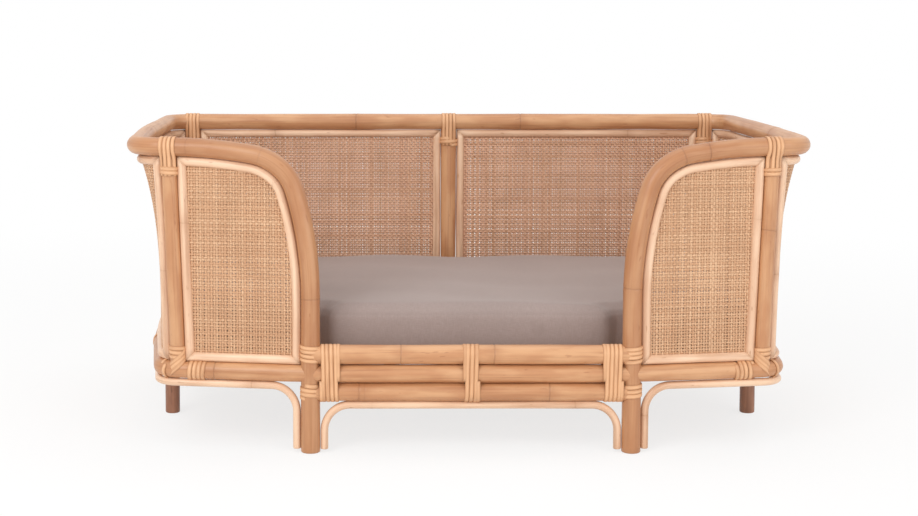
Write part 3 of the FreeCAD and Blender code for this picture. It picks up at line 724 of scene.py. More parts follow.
def strands(skin, centre, across, out, keep, width, thickness, chance, depth):
    """Flat strips with a lens section, one row each: centre + a across + b out at four corners.

    Only the stations where keep holds are made, and each stretch's ends are closed with one face.
    """
    rows, stations = keep.shape
    wide = (width * chance.uniform(0.82, 1.1, rows))[:, None, None, None]
    corners = np.array(((0.5, 0), (0, 0.5), (-0.5, 0), (0, -0.5)))
    a = corners[:, 0][None, None, :, None]
    b = corners[:, 1][None, None, :, None]
    points = centre[:, :, None] + across[:, :, None] * a * wide + out[:, :, None] * b * thickness
    index = np.arange(rows * stations * 4).reshape(rows, stations, 4)
    following = np.roll(index, -1, axis=2)
    solid = keep[:, :-1] & keep[:, 1:]
    quads = np.stack([index[:, :-1], following[:, :-1], following[:, 1:], index[:, 1:]], axis=-1)[solid]
    edge = np.zeros((rows, 1), bool)
    starts = np.concatenate([solid, edge], axis=1) & ~np.concatenate([edge, solid], axis=1)
    stops = np.concatenate([edge, solid], axis=1) & ~np.concatenate([solid, edge], axis=1)
    faces = np.concatenate([quads.reshape(-1, 4), index[starts][:, ::-1], index[stops]])
    steps = np.linalg.norm(np.diff(centre, axis=1), axis=2)
    run = np.concatenate([np.zeros((rows, 1)), np.cumsum(steps, 1)], 1)
    shape = points.shape[:3]
    grain = np.empty((*shape, 3))
    grain[..., 0] = run[:, :, None] * MM
    grain[..., 1] = (a * wide * MM)[..., 0]
    grain[..., 2] = (b * thickness * MM)[..., 0]
    grain += chance.uniform(0, 40, (rows, 1, 1, 3))
    marks_and_shade = np.zeros((*shape, 3))
    marks_and_shade[..., 0] = (np.abs(a) * 2)[..., 0]
    # 1 where the strand goes under at a crossing, which its finish darkens as painted shade
    marks_and_shade[..., 1] = depth[:, :, None]
    marks_and_shade[..., 2] = chance.uniform(0, 1, rows)[:, None, None]
    used, packed = np.unique(faces, return_inverse=True)
    flat = [array.reshape(-1, 3)[used] for array in (points, grain, marks_and_shade)]
    skin.add(*flat, quads=packed.reshape(-1, 4))


def weave(skin, points, inside, sizes, seed):
    """Plain weave over a surface given at the strands' crossings, rows upwards and columns along.

    Every column has an upright strand and every row a level one. At a crossing one strand stands half a
    thickness off the surface and the other as far behind it, and at the next crossing they change over.
    Each strand lies a little off its even place, so that the gaps differ, and the level strands get thinner
    towards the bottom, where the weave is more open.
    """
    chance = np.random.default_rng(seed)
    width, thickness = sizes
    up = unit(np.gradient(points, axis=0))
    along = unit(np.gradient(points, axis=1))
    normal = unit(np.cross(along, up))
    rows, columns = np.indices(inside.shape)
    over = np.where((rows + columns) % 2 == 0, 1.0, -1.0)
    lift = normal * (over * 0.5 * thickness)[..., None]
    wander = chance.normal(0, 0.09, inside.shape)[..., None]
    upright = points + lift + along * (chance.normal(0, 0.26, (1, inside.shape[1]))[..., None] + wander)
    turned = [np.swapaxes(array, 0, 1) for array in (upright, along, normal, inside, (over < 0) * 1.0)]
    # The last argument marks where each strand goes under, for the finish's painted shade
    strands(skin, turned[0], -turned[1], *turned[2:4], width, thickness, chance, turned[4])
    level = points - lift + up * (chance.normal(0, 0.26, (inside.shape[0], 1))[..., None] - wander)
    loose = 1 - LOOSE * np.clip(1 - rows[:, 0] / (0.45 * len(rows)), 0, 1)
    strands(skin, level, up, normal, inside, width * loose, thickness, chance, (over > 0) * 1.0)


def along_front(reach, z):
    """A point in the right front panel's plane, reach from the leg's axis."""
    return vector(LEG_X, FRONT_Y, z) + TOE_RUN * reach


def post_reach(z):
    return mix(*POST_REACH, (z - BASE_Z) / (TOP_Z - BASE_Z))


def plan_route(share, z):
    """The outline at height z, share 0 as the base rail and 1 as the top rail."""
    points = [vector(LEG_X, FRONT_Y, z)]
    for low, high in zip(BASE_CORNERS, TOP_CORNERS):
        points.append(vector(mix(low[0], high[0], share), mix(low[1], high[1], share), z))
    points.append(vector(0, BACK_Y, z))
    return Route(points, [mix(low, high, share) for low, high in zip(BASE_BENDS, TOP_BENDS)])


def flare(z):
    return ((z - BASE_Z) / (TOP_Z - BASE_Z)) ** FLARE_POWER


def side_ends(route, z):
    """Where the side panel's edge poles stand along a level route."""
    start = post_reach(z) + POST_TRIM_OFFSET
    away = lambda points: np.hypot(points[:, 0] - REAR_POST_X, points[:, 1] - BACK_Y)
    return start, route.first_length(lambda points: away(points) < TRIM_OFFSET, start)


def meets_rear_post(points):
    return (points[:, 1] > 0) & (points[:, 0] <= REAR_POST_X)


ARCH_CORNERS = ((0.0, 118.0), (26.0, 33.0), (58.0, 10.0), (130.0, 0.0))
ARCH_ROUTE = Route(
    [along_front(0, 0)] + [along_front(reach, TOP_Z - drop) for reach, drop in ARCH_CORNERS]
    + [along_front(POST_REACH[1], TOP_Z)],
    [450.0, 60.0, 75.0, 600.0],
)
TOP_ROUTE = plan_route(1.0, TOP_Z)
BASE_ROUTE = plan_route(0.0, BASE_Z)
BASE_END = BASE_ROUTE.first_length(meets_rear_post, BASE_SPLICE)
TOP_END = TOP_ROUTE.first_length(meets_rear_post, POST_REACH[1])
SIDE_LEG_LENGTH = BASE_ROUTE.first_length(lambda points: points[:, 1] > SIDE_LEG_Y, BASE_SPLICE)
SIDE_LEG_X = BASE_ROUTE.at(SIDE_LEG_LENGTH)[0][0, 0] - 14.0
POST_FOOT = along_front(POST_REACH[0], BASE_Z)
POST_TOP = along_front(POST_REACH[1], TOP_Z)
POST_RUN = unit(POST_TOP - POST_FOOT)
SIDES = (("right", False), ("left", True))


def sizes():
    return bpy.context.scene.daybed_sizes


def colours():
    return bpy.context.scene.daybed_colours


def finish_for(kind):
    """The finish of that kind, made when it is first asked for."""
    name = "daybed_" + kind
    if name in bpy.data.materials:
        return bpy.data.materials[name]
    c = colours()
    rows = {
        "rattan_pole": (pole_finish, c.pole_light, c.pole_mid, c.pole_dark, c.pole_deep_and_shade, 0.55),
        # Painted shade: a darker copy of the pole finish for the side legs
        "rattan_leg": (pole_finish, c.leg_shaded_light, c.leg_shaded_mid, c.pole_deep_and_shade, c.pole_deep_and_shade, 0.6),
        "rattan_thin": (pole_finish, c.trim_light, c.trim_mid, c.pole_dark, c.pole_dark, 0.3),
        # The strip's light colour is a painted highlight, and its deep colour at the edges is painted shade
        "rattan_strip": (strip_finish, c.strip_highlight, c.strip_mid, c.pole_dark, c.pole_deep_and_shade),
        "cane_front": (cane_finish, c.cane_light, c.cane_mid, c.cane_dark_and_shade),
        # Painted light: the back cane is a lighter copy of the front cane, against the shade it sits in
        "cane_back": (cane_finish, c.back_brightened_light, c.back_brightened_mid, c.cane_dark_and_shade),
        "cushion_cloth": (cloth_finish, c.cloth, c.cloth_shade),
        "deck_wood": (wood_finish, c.slat, [value * 0.7 for value in c.slat], (7, 140, 140)),
        "bearer_wood": (wood_finish, c.pole_light, c.pole_dark, (140, 7, 140)),
        "screw_steel": (steel_finish, c.steel),
    }
    make, *values = rows[kind]
    return make(name, *values)


def pole_sizes():
    return [value / MM for value in (sizes().frame_pole, sizes().base_pole, sizes().post_pole)]


def strip_sizes():
    return sizes().strip_width / MM, sizes().strip_thickness / MM


class FramePoles(bpy.types.Operator):
    """Legs, arches, top and base rails, and posts"""

    bl_idname = "daybed.frame_poles"
    bl_label = "Frame Poles"

    def execute(self, context):
        frame_d, base_d, post_d = pole_sizes()
        gap = sizes().node_gap / MM
        rear = vector(REAR_POST_X, BACK_Y, 0)
        leg = vector(SIDE_LEG_X, SIDE_LEG_Y, 0)
        arch_end = ARCH_ROUTE.length
        base_straight = Route([along_front(0, BASE_Z), along_front(BASE_SPLICE, BASE_Z)])
        pieces = (
            ("front_leg_arch", ARCH_ROUTE, 0, arch_end, frame_d, PANEL_NORMAL, (arch_end - 118.0,), 1.0),
            ("top_rail_side", TOP_ROUTE, POST_REACH[1] - 0.5, TOP_END + 0.5, frame_d, UP, (), 0.5),
            ("base_rail_front", base_straight, 0, BASE_SPLICE, base_d, UP, (), 0.4),
            ("base_rail_side", BASE_ROUTE, BASE_SPLICE, BASE_END, base_d, UP, (), 0.4),
            ("outer_post", Route([POST_FOOT, POST_TOP]), 0, 281.0, post_d, PANEL_NORMAL, (), 0.6),
            ("rear_corner_post", Route([rear, rear + UP * TOP_Z]), 0, TOP_Z, frame_d, PANEL_NORMAL, (), 0.5),
            ("side_leg", Route([leg, leg + UP * BASE_Z]), 0, BASE_Z, post_d, PANEL_NORMAL, (), 0.5),
        )
        for number, (name, route, start, end, diameter, across, extra, tone) in enumerate(pieces):
            for hand, mirrored in SIDES:
                skin = Skin()
                seed = 100 + number * 10 + mirrored
                pole(skin, route, start, end, diameter, across, seed, gap, extra=extra, tone=tone)
                # The side legs take the darker, painted-shade copy of the pole finish
                kind = "rattan_leg" if name == "side_leg" else "rattan_pole"
                put(skin, name + "_" + hand, kind, mirrored)
        back_low, back_high = vector(0, BACK_Y, BASE_Z), vector(0, BACK_Y, TOP_Z)
        level = vector(REAR_POST_X, 0, 0)
        singles = (
            ("top_rail_back", Route([back_high - level, back_high + level]), frame_d, UP, gap * 1.4),
            ("base_rail_back", Route([back_low - level, back_low + level]), base_d, UP, gap),
            ("back_centre_post", Route([back_low, back_high]), frame_d, PANEL_NORMAL, gap),
        )
        for number, (name, route, diameter, across, spacing) in enumerate(singles):
            skin = Skin()
            pole(skin, route, 0, route.length, diameter, across, 200 + number, spacing)
            put(skin, name, "rattan_pole")
        return {"FINISHED"}


class FrontRails(bpy.types.Operator):
    """The three rails stacked under the entry"""

    bl_idname = "daybed.front_rails"
    bl_label = "Front Rails"

    def execute(self, context):
        rails = (
            ("front_top_rail", UPPER_RAIL_Z, sizes().frame_pole, (112.0,)),
            ("front_middle_rail", BASE_Z, sizes().base_pole, ()),
            ("front_bottom_rail", LOWER_RAIL_Z, sizes().base_pole, (60.0,)),
        )
        for number, (name, z, diameter, extra) in enumerate(rails):
            skin = Skin()
            route = Route([vector(-LEG_X, FRONT_Y, z), vector(LEG_X, FRONT_Y, z)])
            pole(skin, route, 0, route.length, diameter / MM + PRESSED, UP, 231 + number, 300.0, extra=extra)
            put(skin, name, "rattan_pole")
        return {"FINISHED"}


class Braces(bpy.types.Operator):
    """Thin curved poles under the rails, with their ends running down the legs"""

    bl_idname = "daybed.braces"
    bl_label = "Braces"

    def execute(self, context):
        diameter = sizes().brace_pole / MM
        across = unit(vector(1, -1, 0))
        for name, reach, y, z in (
            ("front_brace", LEG_X - BRACE_OFFSET, FRONT_Y, FRONT_BRACE_Z),
            ("back_brace", REAR_POST_X - BRACE_OFFSET, BACK_Y, RING_BRACE_Z),
        ):
            corners = [(-reach, y, BRACE_FOOT), (-reach, y, z), (reach, y, z), (reach, y, BRACE_FOOT)]
            skin = Skin()
            route = Route(corners, [32.0, 32.0])
            pole(skin, route, 0, route.length, diameter, vector(0, 1, 0), 240, 300.0, 14, 0.3)
            put(skin, name, "rattan_thin")
        start = along_front(BRACE_OFFSET, RING_BRACE_Z)
        corner = vector(BASE_CORNERS[0][0] + 4, BASE_CORNERS[0][1], RING_BRACE_Z)
        side = vector(BASE_CORNERS[1][0] + 4, 0, RING_BRACE_Z)
        rear = vector(REAR_POST_X, BACK_Y, RING_BRACE_Z) + across * BRACE_OFFSET
        drop = UP * (RING_BRACE_Z - BRACE_FOOT)
        route = Route([start - drop, start, corner, side, rear, rear - drop], [32.0, 30.0, 1500.0, 32.0])
        for hand, mirrored in SIDES:
            skin = Skin()
            pole(skin, route, 0, route.length, diameter, across, 244 + mirrored, 300.0, 14, 0.3)
            put(skin, "side_brace_" + hand, "rattan_thin", mirrored)
        return {"FINISHED"}


def ring_of_poles(skin, sides, diameter, seed):
    """Thin poles round a panel, cut to a mitre where each meets the next. Each side is a route with the
    lengths it starts and ends at, and the directions square to it that its section keeps."""
    headings = [(route.at(start)[1][0], route.at(end)[1][0]) for route, start, end, across in sides]
    for number, (route, start, end, across) in enumerate(sides):
        before = headings[number - 1][1]
        after = headings[(number + 1) % len(sides)][0]
        cuts = (unit(before + headings[number][0]), unit(headings[number][1] + after))
        pole(skin, route, start, end, diameter, across, seed + number, 300.0, 14, 0.3, cuts)


def back_outline():
    near, far = TRIM_OFFSET, REAR_POST_X - TRIM_OFFSET
    return [
        vector(near, BACK_Y, TRIM_LOW_Z),
        vector(far, BACK_Y, TRIM_LOW_Z),
        vector(far, BACK_Y, TRIM_HIGH_Z),
        vector(near, BACK_Y, TRIM_HIGH_Z),
    ]


def arch_trim():
    """The arched trim of a front panel, and the lengths it starts and ends at."""
    route = Beside(ARCH_ROUTE, TRIM_OFFSET, PANEL_NORMAL)
    far = along_front(post_reach(TRIM_HIGH_Z) - POST_TRIM_OFFSET, 0)[0]
    lengths = np.arange(TRIM_LOW_Z, ARCH_ROUTE.length, 0.05)
    return route, TRIM_LOW_Z, lengths[np.argmax(route.at(lengths)[0][:, 0] > far)]


class PanelTrims(bpy.types.Operator):
    """The thin poles round each of the six panels"""

    bl_idname = "daybed.panel_trims"
    bl_label = "Panel Trims"

    def execute(self, context):
        diameter = sizes().trim_pole / MM
        arch, arch_start, arch_end = arch_trim()
        low_in = arch.at(arch_start)[0][0]
        high_out = arch.at(arch_end)[0][0]
        low_out = along_front(post_reach(TRIM_LOW_Z) - POST_TRIM_OFFSET, TRIM_LOW_Z)
        bottom = Route([low_out, low_in])
        outer = Route([high_out, low_out])
        front = (
            (arch, arch_start, arch_end, PANEL_NORMAL),
            (outer, 0, outer.length, PANEL_NORMAL),
            (bottom, 0, bottom.length, PANEL_NORMAL),
        )
        corners = back_outline()
        back = []
        for first, second in zip(corners, corners[1:] + corners[:1]):
            route = Route([first, second])
            back.append((route, 0, route.length, vector(0, 1, 0)))
        levels = [mix(TRIM_LOW_Z, TRIM_HIGH_Z, share) for share in (0.0, 0.3, 0.55, 0.8, 1.0)]
        routes = [plan_route(flare(z), z) for z in levels]
        ends = [side_ends(route, z) for route, z in zip(routes, levels)]
        fronts = [route.at(pair[0])[0][0] for route, pair in zip(routes, ends)]
        rears = [route.at(pair[1])[0][0] for route, pair in zip(routes, ends)]
        bends = [90.0] * (len(levels) - 2)
        rising = Route(rears, bends)
        falling = Route(fronts[::-1], bends)
        top = Reversed(routes[-1], ends[-1])
        side = (
            (routes[0], *ends[0], UP),
            (rising, 0, rising.length, vector(1, 0.2, 0)),
            (top, 0, ends[-1][1] - ends[-1][0], UP),
            (falling, 0, falling.length, vector(0.2, -1, 0)),
        )
        for number, (name, sides) in enumerate((("front", front), ("back", back), ("side", side))):
            for hand, mirrored in SIDES:
                skin = Skin()
                ring_of_poles(skin, sides, diameter, 300 + 20 * number + 10 * mirrored)
                put(skin, name + "_panel_trim_" + hand, "rattan_thin", mirrored)
        return {"FINISHED"}


class Reversed:
    """A stretch of a route walked from its far end."""

    def __init__(self, route, ends):
        self.route = route
        self.far = ends[1]

    def at(self, lengths):
        """Points and headings at these lengths from the far end."""
        points, ahead = self.route.at(self.far - np.atleast_1d(lengths))
        return points, -ahead


class Cane(bpy.types.Operator):
    """The woven cane in each of the six panels, strand by strand"""

    bl_idname = "daybed.cane"
    bl_label = "Cane"

    def execute(self, context):
        pitch = sizes().weave_pitch / MM
        strand = (sizes().strand_width / MM, sizes().strand_thickness / MM)
        for hand, mirrored in SIDES:
            for number, (name, surface) in enumerate((
                ("front", self.front(pitch)), ("side", self.side(pitch)), ("back", self.back(pitch))
            )):
                skin = Skin()
                weave(skin, *surface, strand, 400 + 10 * number + mirrored)
                # The back panels take the lighter, painted-light copy of the cane finish
                kind = "cane_back" if name == "back" else "cane_front"
                put(skin, name + "_cane_" + hand, kind, mirrored)
        return {"FINISHED"}

    def front(self, pitch):
        """A flat grid, kept under the arch's curve and short of the leaning post."""
        arch, start, end = arch_trim()
        curve = arch.at(np.linspace(start, end, 400))[0]
        curve_reach = (curve - along_front(0, 0)) @ TOE_RUN
        far = post_reach(TRIM_HIGH_Z) - POST_TRIM_OFFSET
        reach = np.arange(TRIM_OFFSET, far + pitch, pitch)
        z = np.arange(TRIM_LOW_Z, TRIM_HIGH_Z + pitch, pitch)
        points = along_front(0, 0) + reach[None, :, None] * TOE_RUN + z[:, None, None] * UP
        roof = np.interp(reach, curve_reach, curve[:, 2])
        short = reach[None, :] < post_reach(z)[:, None] - POST_TRIM_OFFSET + 2.5
        inside = (z[:, None] < roof[None, :] + 2.5) & short
        return points, inside

    def back(self, pitch):
        """A flat upright grid between the centre post and the rear post."""
        corners = back_outline()
        x = np.arange(corners[0][0], corners[1][0] + pitch, pitch)
        z = np.arange(TRIM_LOW_Z, TRIM_HIGH_Z + pitch, pitch)
        row = np.stack([*np.meshgrid(x, [BACK_Y]), np.zeros((1, len(x)))], axis=-1)
        points = row + z[:, None, None] * UP
        return points, np.ones((len(z), len(x)), bool)

    def side(self, pitch):
        """A flared sheet: at each height the outline at that height's flare, divided evenly end to end."""
        heights = np.linspace(TRIM_LOW_Z, TRIM_HIGH_Z, round((TRIM_HIGH_Z - TRIM_LOW_Z) / pitch) + 1)
        middle = plan_route(flare(heights[len(heights) // 2]), heights[len(heights) // 2])
        ends = side_ends(middle, heights[len(heights) // 2])
        shares = np.linspace(0, 1, round((ends[1] - ends[0]) / pitch) + 1)
        rows = []
        for z in heights:
            route = plan_route(flare(z), z)
            rows.append(route.at(mix(*side_ends(route, z), shares))[0])
        return np.array(rows), np.ones((len(heights), len(shares)), bool)


class Bindings(bpy.types.Operator):
    """Strip wound round the joints between the poles"""

    bl_idname = "daybed.bindings"
    bl_label = "Bindings"

    def execute(self, context):
        frame_r, base_r, post_r = (value / 2 for value in pole_sizes())
        strips = strip_sizes()
        seed = iter(range(500, 600))
        leg = Route([along_front(0, 0), along_front(0, TOP_Z)])
        post = Route([POST_FOOT, POST_TOP])
        rear = Route([vector(REAR_POST_X, BACK_Y, 0), vector(REAR_POST_X, BACK_Y, TOP_Z)])
        side_foot = vector(SIDE_LEG_X, SIDE_LEG_Y, 0)
        side_leg = Route([side_foot, side_foot + UP * BASE_Z])
        for hand, mirrored in SIDES:
            chance = np.random.default_rng(next(seed))
            skin = Skin()
            stack_coil(skin, LEG_X - frame_r + 1.0 - RAIL_WRAP_WIDTH, LEG_X - frame_r + 1.0, chance, strips)
            self.put(skin, "front_rail_binding_" + hand, mirrored)

            skin = Skin()
            for low, high in LEG_WRAPS:
                coil(skin, leg, low, high, frame_r + 0.1, PANEL_NORMAL, chance, strips)
            self.put(skin, "leg_wrap_" + hand, mirrored)

            skin = Skin()
            saddle(skin, POST_TOP, TOE_RUN, POST_RUN, post_r, chance, strips)
            self.put(skin, "post_top_binding_" + hand, mirrored)

            skin = Skin()
            coil(skin, BASE_ROUTE, BASE_SPLICE - 5, POST_REACH[0] - 10, base_r + 0.1, UP, chance, strips)
            coil(skin, BASE_ROUTE, POST_REACH[0] + 10, POST_REACH[0] + 21, base_r + 0.1, UP, chance, strips)
            coil(skin, post, *POST_WRAP, post_r + 0.1, PANEL_NORMAL, chance, strips)
            radii, climb = (base_r + 0.2, post_r + 0.6), (-4.0, 22.0)
            slanted(skin, POST_FOOT, POST_RUN, TOE_RUN, *radii, *climb, chance, strips)
            self.put(skin, "post_foot_binding_" + hand, mirrored)

            skin = Skin()
            saddle(skin, vector(REAR_POST_X, BACK_Y, TOP_Z), vector(1, 0, 0), UP, frame_r, chance, strips)
            self.put(skin, "rear_post_binding_" + hand, mirrored)

        chance = np.random.default_rng(next(seed))
        skin = Skin()
        stack_coil(skin, -11.0, 11.0, chance, strips)
        self.put(skin, "front_rail_binding_centre")
        skin = Skin()
        saddle(skin, vector(0, BACK_Y, TOP_Z), vector(1, 0, 0), UP, frame_r, chance, strips)
        self.put(skin, "centre_post_top_binding")
        skin = Skin()
        back = Route([vector(-60, BACK_Y, BASE_Z), vector(60, BACK_Y, BASE_Z)])
        centre = Route([vector(0, BACK_Y, BASE_Z), vector(0, BACK_Y, TOP_Z)])
        for low, high in CENTRE_WRAPS:
            coil(skin, back, low, high, base_r + 0.1, UP, chance, strips)
        coil(skin, centre, *POST_WRAP, frame_r + 0.1, PANEL_NORMAL, chance, strips)
        self.put(skin, "centre_post_foot_binding")
        pairs = (
            ("rear_base_bindings", ((rear, BASE_Z - 23, BASE_Z + 23, frame_r + 0.1, PANEL_NORMAL),)),
            ("side_leg_bindings", (
                (BASE_ROUTE, SIDE_LEG_LENGTH - 11, SIDE_LEG_LENGTH + 11, base_r + 0.1, UP),
                (side_leg, *SIDE_LEG_WRAP, post_r + 0.1, PANEL_NORMAL),
            )),
        )
        for name, coils in pairs:
            whole = Skin()
            for hand, mirrored in SIDES:
                skin = Skin()
                for route, start, end, radius, across in coils:
                    coil(skin, route, start, end, radius, across, chance, strips)
                turn = (-1, 1, 1) if mirrored else (1, 1, 1)
                step = -1 if mirrored else 1
                whole.add(
                    np.concatenate(skin.points) * turn, np.concatenate(skin.grain), np.concatenate(skin.marks_and_shade),
                    np.concatenate(skin.quads)[:, ::step], np.concatenate(skin.threes)[:, ::step],
                )
            self.put(whole, name)
        return {"FINISHED"}

    def put(self, skin, name, mirrored=False):
        put(skin, name, "rattan_strip", mirrored)


class Deck(bpy.types.Operator):
    """Finishes for the slats, bearers, screws and dowels, which keep the frame's own shapes"""

    bl_idname = "daybed.deck"
    bl_label = "Deck and Fasteners"

    def execute(self, context):
        finishes = {
            "deck_slats": "deck_wood",
            "deck_bearers": "bearer_wood",
            "splice_dowels": "deck_wood",
            "deck_screws": "screw_steel",
            "frame_screws": "screw_steel",
        }
        for node, name in finishes.items():
            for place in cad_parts[node].material_slots:
                place.material = finish_for(name)
        return {"FINISHED"}


def cushion_outline(inset, count):
    """Points round the cushion's outline, with a notch at each front corner for the arched panels."""
    front = CUSHION_FRONT + inset
    back = CUSHION_BACK - inset
    notch = NOTCH_X - inset
    shoulder = notch + NOTCH_STEP
    panel = lambda x: FRONT_Y + (x - LEG_X) * math.tan(TOE) + PANEL_GAP + inset
    side_low, side_high = (x - inset for x in CUSHION_SIDES)
    right = [
        (notch, front), (shoulder, panel(shoulder)), (side_low, panel(side_low)),
        (side_high - 5, 0), (side_high, back),
    ]
    ring = [(0, front + 4)] + right + [(0, back - 4)] + [(-x, y) for x, y in reversed(right)]
    bends = [*CUSHION_BENDS, 1500.0, *CUSHION_BENDS[::-1], 1500.0]
    points = [vector(x, y, 0) for x, y in ring]
    start = (points[0] + points[1]) / 2
    route = Route([start] + points[1:] + [points[0], start], bends)
    return route.at(np.linspace(0, route.length, count, endpoint=False))[0]


def read_points(mesh):
    flat = np.empty(len(mesh.vertices) * 3, np.float32)
    mesh.vertices.foreach_get("co", flat)
    return flat.reshape(-1, 3).astype(float)


class Cushion(bpy.types.Operator):
    """The loose cushion: a cover blown up by its filling, flat where it lies on the slats"""

    bl_idname = "daybed.cushion"
    bl_label = "Cushion"

    def execute(self, context):
        made = self.cover().build("visual_cushion", finish_for("cushion_cloth"))
        remesh = made.modifiers.new("Even", "REMESH")
        remesh.mode = "VOXEL"
        remesh.voxel_size = 0.006
        remesh.use_smooth_shade = True
        self.apply(made)
        rest = read_points(made.data)
        layer = made.data.attributes.new("rest", "FLOAT_VECTOR", "POINT")
        layer.data.foreach_set("vector", rest.ravel().astype(np.float32))
        self.blow_up(made, rest)
        smooth = made.modifiers.new("Smooth", "SUBSURF")
        smooth.levels = smooth.render_levels = 1
        self.apply(made)
        self.sew(made.data)
        made.data.materials.clear()
        made.data.materials.append(finish_for("cushion_cloth"))
        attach(made, "cushion")
        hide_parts("cushion")
        return {"FINISHED"}

    def cover(self):
        """Rings of the outline, drawn in at the top and bottom edges, then shrunk to the middle."""
        height = sizes().cushion_height / MM
        low = DECK_TOP + 1.0
        sides = ((0.0, 9.0), (0.05, 5.0), (0.16, 3.0), (0.84, 3.0), (0.96, 4.5), (1.0, 8.0))
        edge = sides[0][1]
        inner = [(0.0, edge, 0.3), (0.0, edge, 0.7)]
        outer = [(1.0, edge, 0.7), (1.0, edge, 0.3)]
        levels = inner + [(share, inset, 1.0) for share, inset in sides] + outer
        rings = [
            cushion_outline(inset, 300) * size + UP * (low + height * share)
            for share, inset, size in levels
        ]
        skin = Skin()
        points = np.array(rings)
        skin.rings(points, points * MM, np.zeros_like(points))
        return skin

    def apply(self, made):
        """Makes the modifiers' result the piece's own mesh."""
        evaluated = made.evaluated_get(bpy.context.evaluated_depsgraph_get())
        old = made.data
        made.data = bpy.data.meshes.new_from_object(evaluated)
        made.modifiers.clear()
        bpy.data.meshes.remove(old)

    def blow_up(self, made, rest):
        """Cloth with the filling's pressure inside, no gravity, and each point's way held to the swell."""
        cloth = made.modifiers.new("Filling", "CLOTH")
        cloth.settings.quality = 5
        cloth.settings.use_pressure = True
        cloth.settings.uniform_pressure_force = 3.0
        cloth.settings.effector_weights.gravity = 0
        cloth.collision_settings.use_collision = False
        cloth.point_cache.frame_start = 1
        cloth.point_cache.frame_end = sizes().cushion_frames
        for number in range(1, sizes().cushion_frames + 1):
            bpy.context.scene.frame_set(number)
        evaluated = made.evaluated_get(bpy.context.evaluated_depsgraph_get())
        moved = read_points(evaluated.data) - rest
        way = np.linalg.norm(moved, axis=1, keepdims=True)
        most = sizes().cushion_swell
        moved *= np.minimum(1.0, most / np.maximum(way, 1e-9))
        made.modifiers.clear()
        self.write_points(made.data, rest + moved)
        bpy.context.scene.frame_set(1)

    def write_points(self, mesh, points):
        mesh.vertices.foreach_set("co", points.ravel().astype(np.float32))
        mesh.update()

    def sew(self, mesh):
        """Presses the cover flat on the deck, and draws it in along the two seams with small puckers.

        A point moves along its normal by hollow + 0.25 pucker near the top seam - 0.8 seam, in millimetres,
        where a seam is a narrow bell of the height and the hollows are long slanting waves.
        """
        points = read_points(mesh)
        flat = np.empty(len(points) * 3, np.float32)
        mesh.attributes["rest"].data.foreach_get("vector", flat)
        rest = flat.reshape(-1, 3) / MM
        mesh.vertices.foreach_get("normal", flat)
        normal = flat.reshape(-1, 3).astype(float)
        height = sizes().cushion_height / MM
        wall = np.hypot(normal[:, 0], normal[:, 1])
        seam = np.zeros(len(points))
        for level in (DECK_TOP + 1.0 + height * 0.06, DECK_TOP + 1.0 + height * 0.94):
            seam += np.exp(-(((rest[:, 2] - level) / 1.6) ** 2)) * (wall > 0.25)
        around = np.arctan2(rest[:, 1], rest[:, 0])
        pucker = np.sin(around * 170) + 0.6 * np.sin(around * 263 + 1.0)
        near = np.exp(-(((rest[:, 2] - DECK_TOP - 1.0 - height * 0.94) / 6.0) ** 2)) * (wall > 0.15)
        x, y = rest[:, 0], rest[:, 1]
        hollow = np.sin(x / 71 + y / 43 + 0.8) * np.sin(y / 58 - x / 120)
        hollow = hollow + 0.5 * np.sin(x / 31 - y / 52 + 2.0)
        hollow = 1.5 * hollow + 0.7 * np.sin(x / 150 + y / 19 + 1.4 * np.sin(x / 64))
        points += normal * ((-0.8 * seam + 0.25 * near * pucker + hollow) * MM)[:, None]
        floor = (DECK_TOP + 0.4) * MM
        points[:, 2] = np.where(points[:, 2] < floor, floor, points[:, 2])
        self.write_points(mesh, points)
        # The seam bell also goes to the finish, which paints shade along it
        for label, rows in (
            ("grain", points), ("marks_and_shade", np.stack([seam, wall, np.zeros(len(points))], axis=-1))
        ):
            if label in mesh.attributes:
                mesh.attributes.remove(mesh.attributes[label])
            layer = mesh.attributes.new(label, "FLOAT_VECTOR", "POINT")
            layer.data.foreach_set("vector", rows.ravel().astype(np.float32))


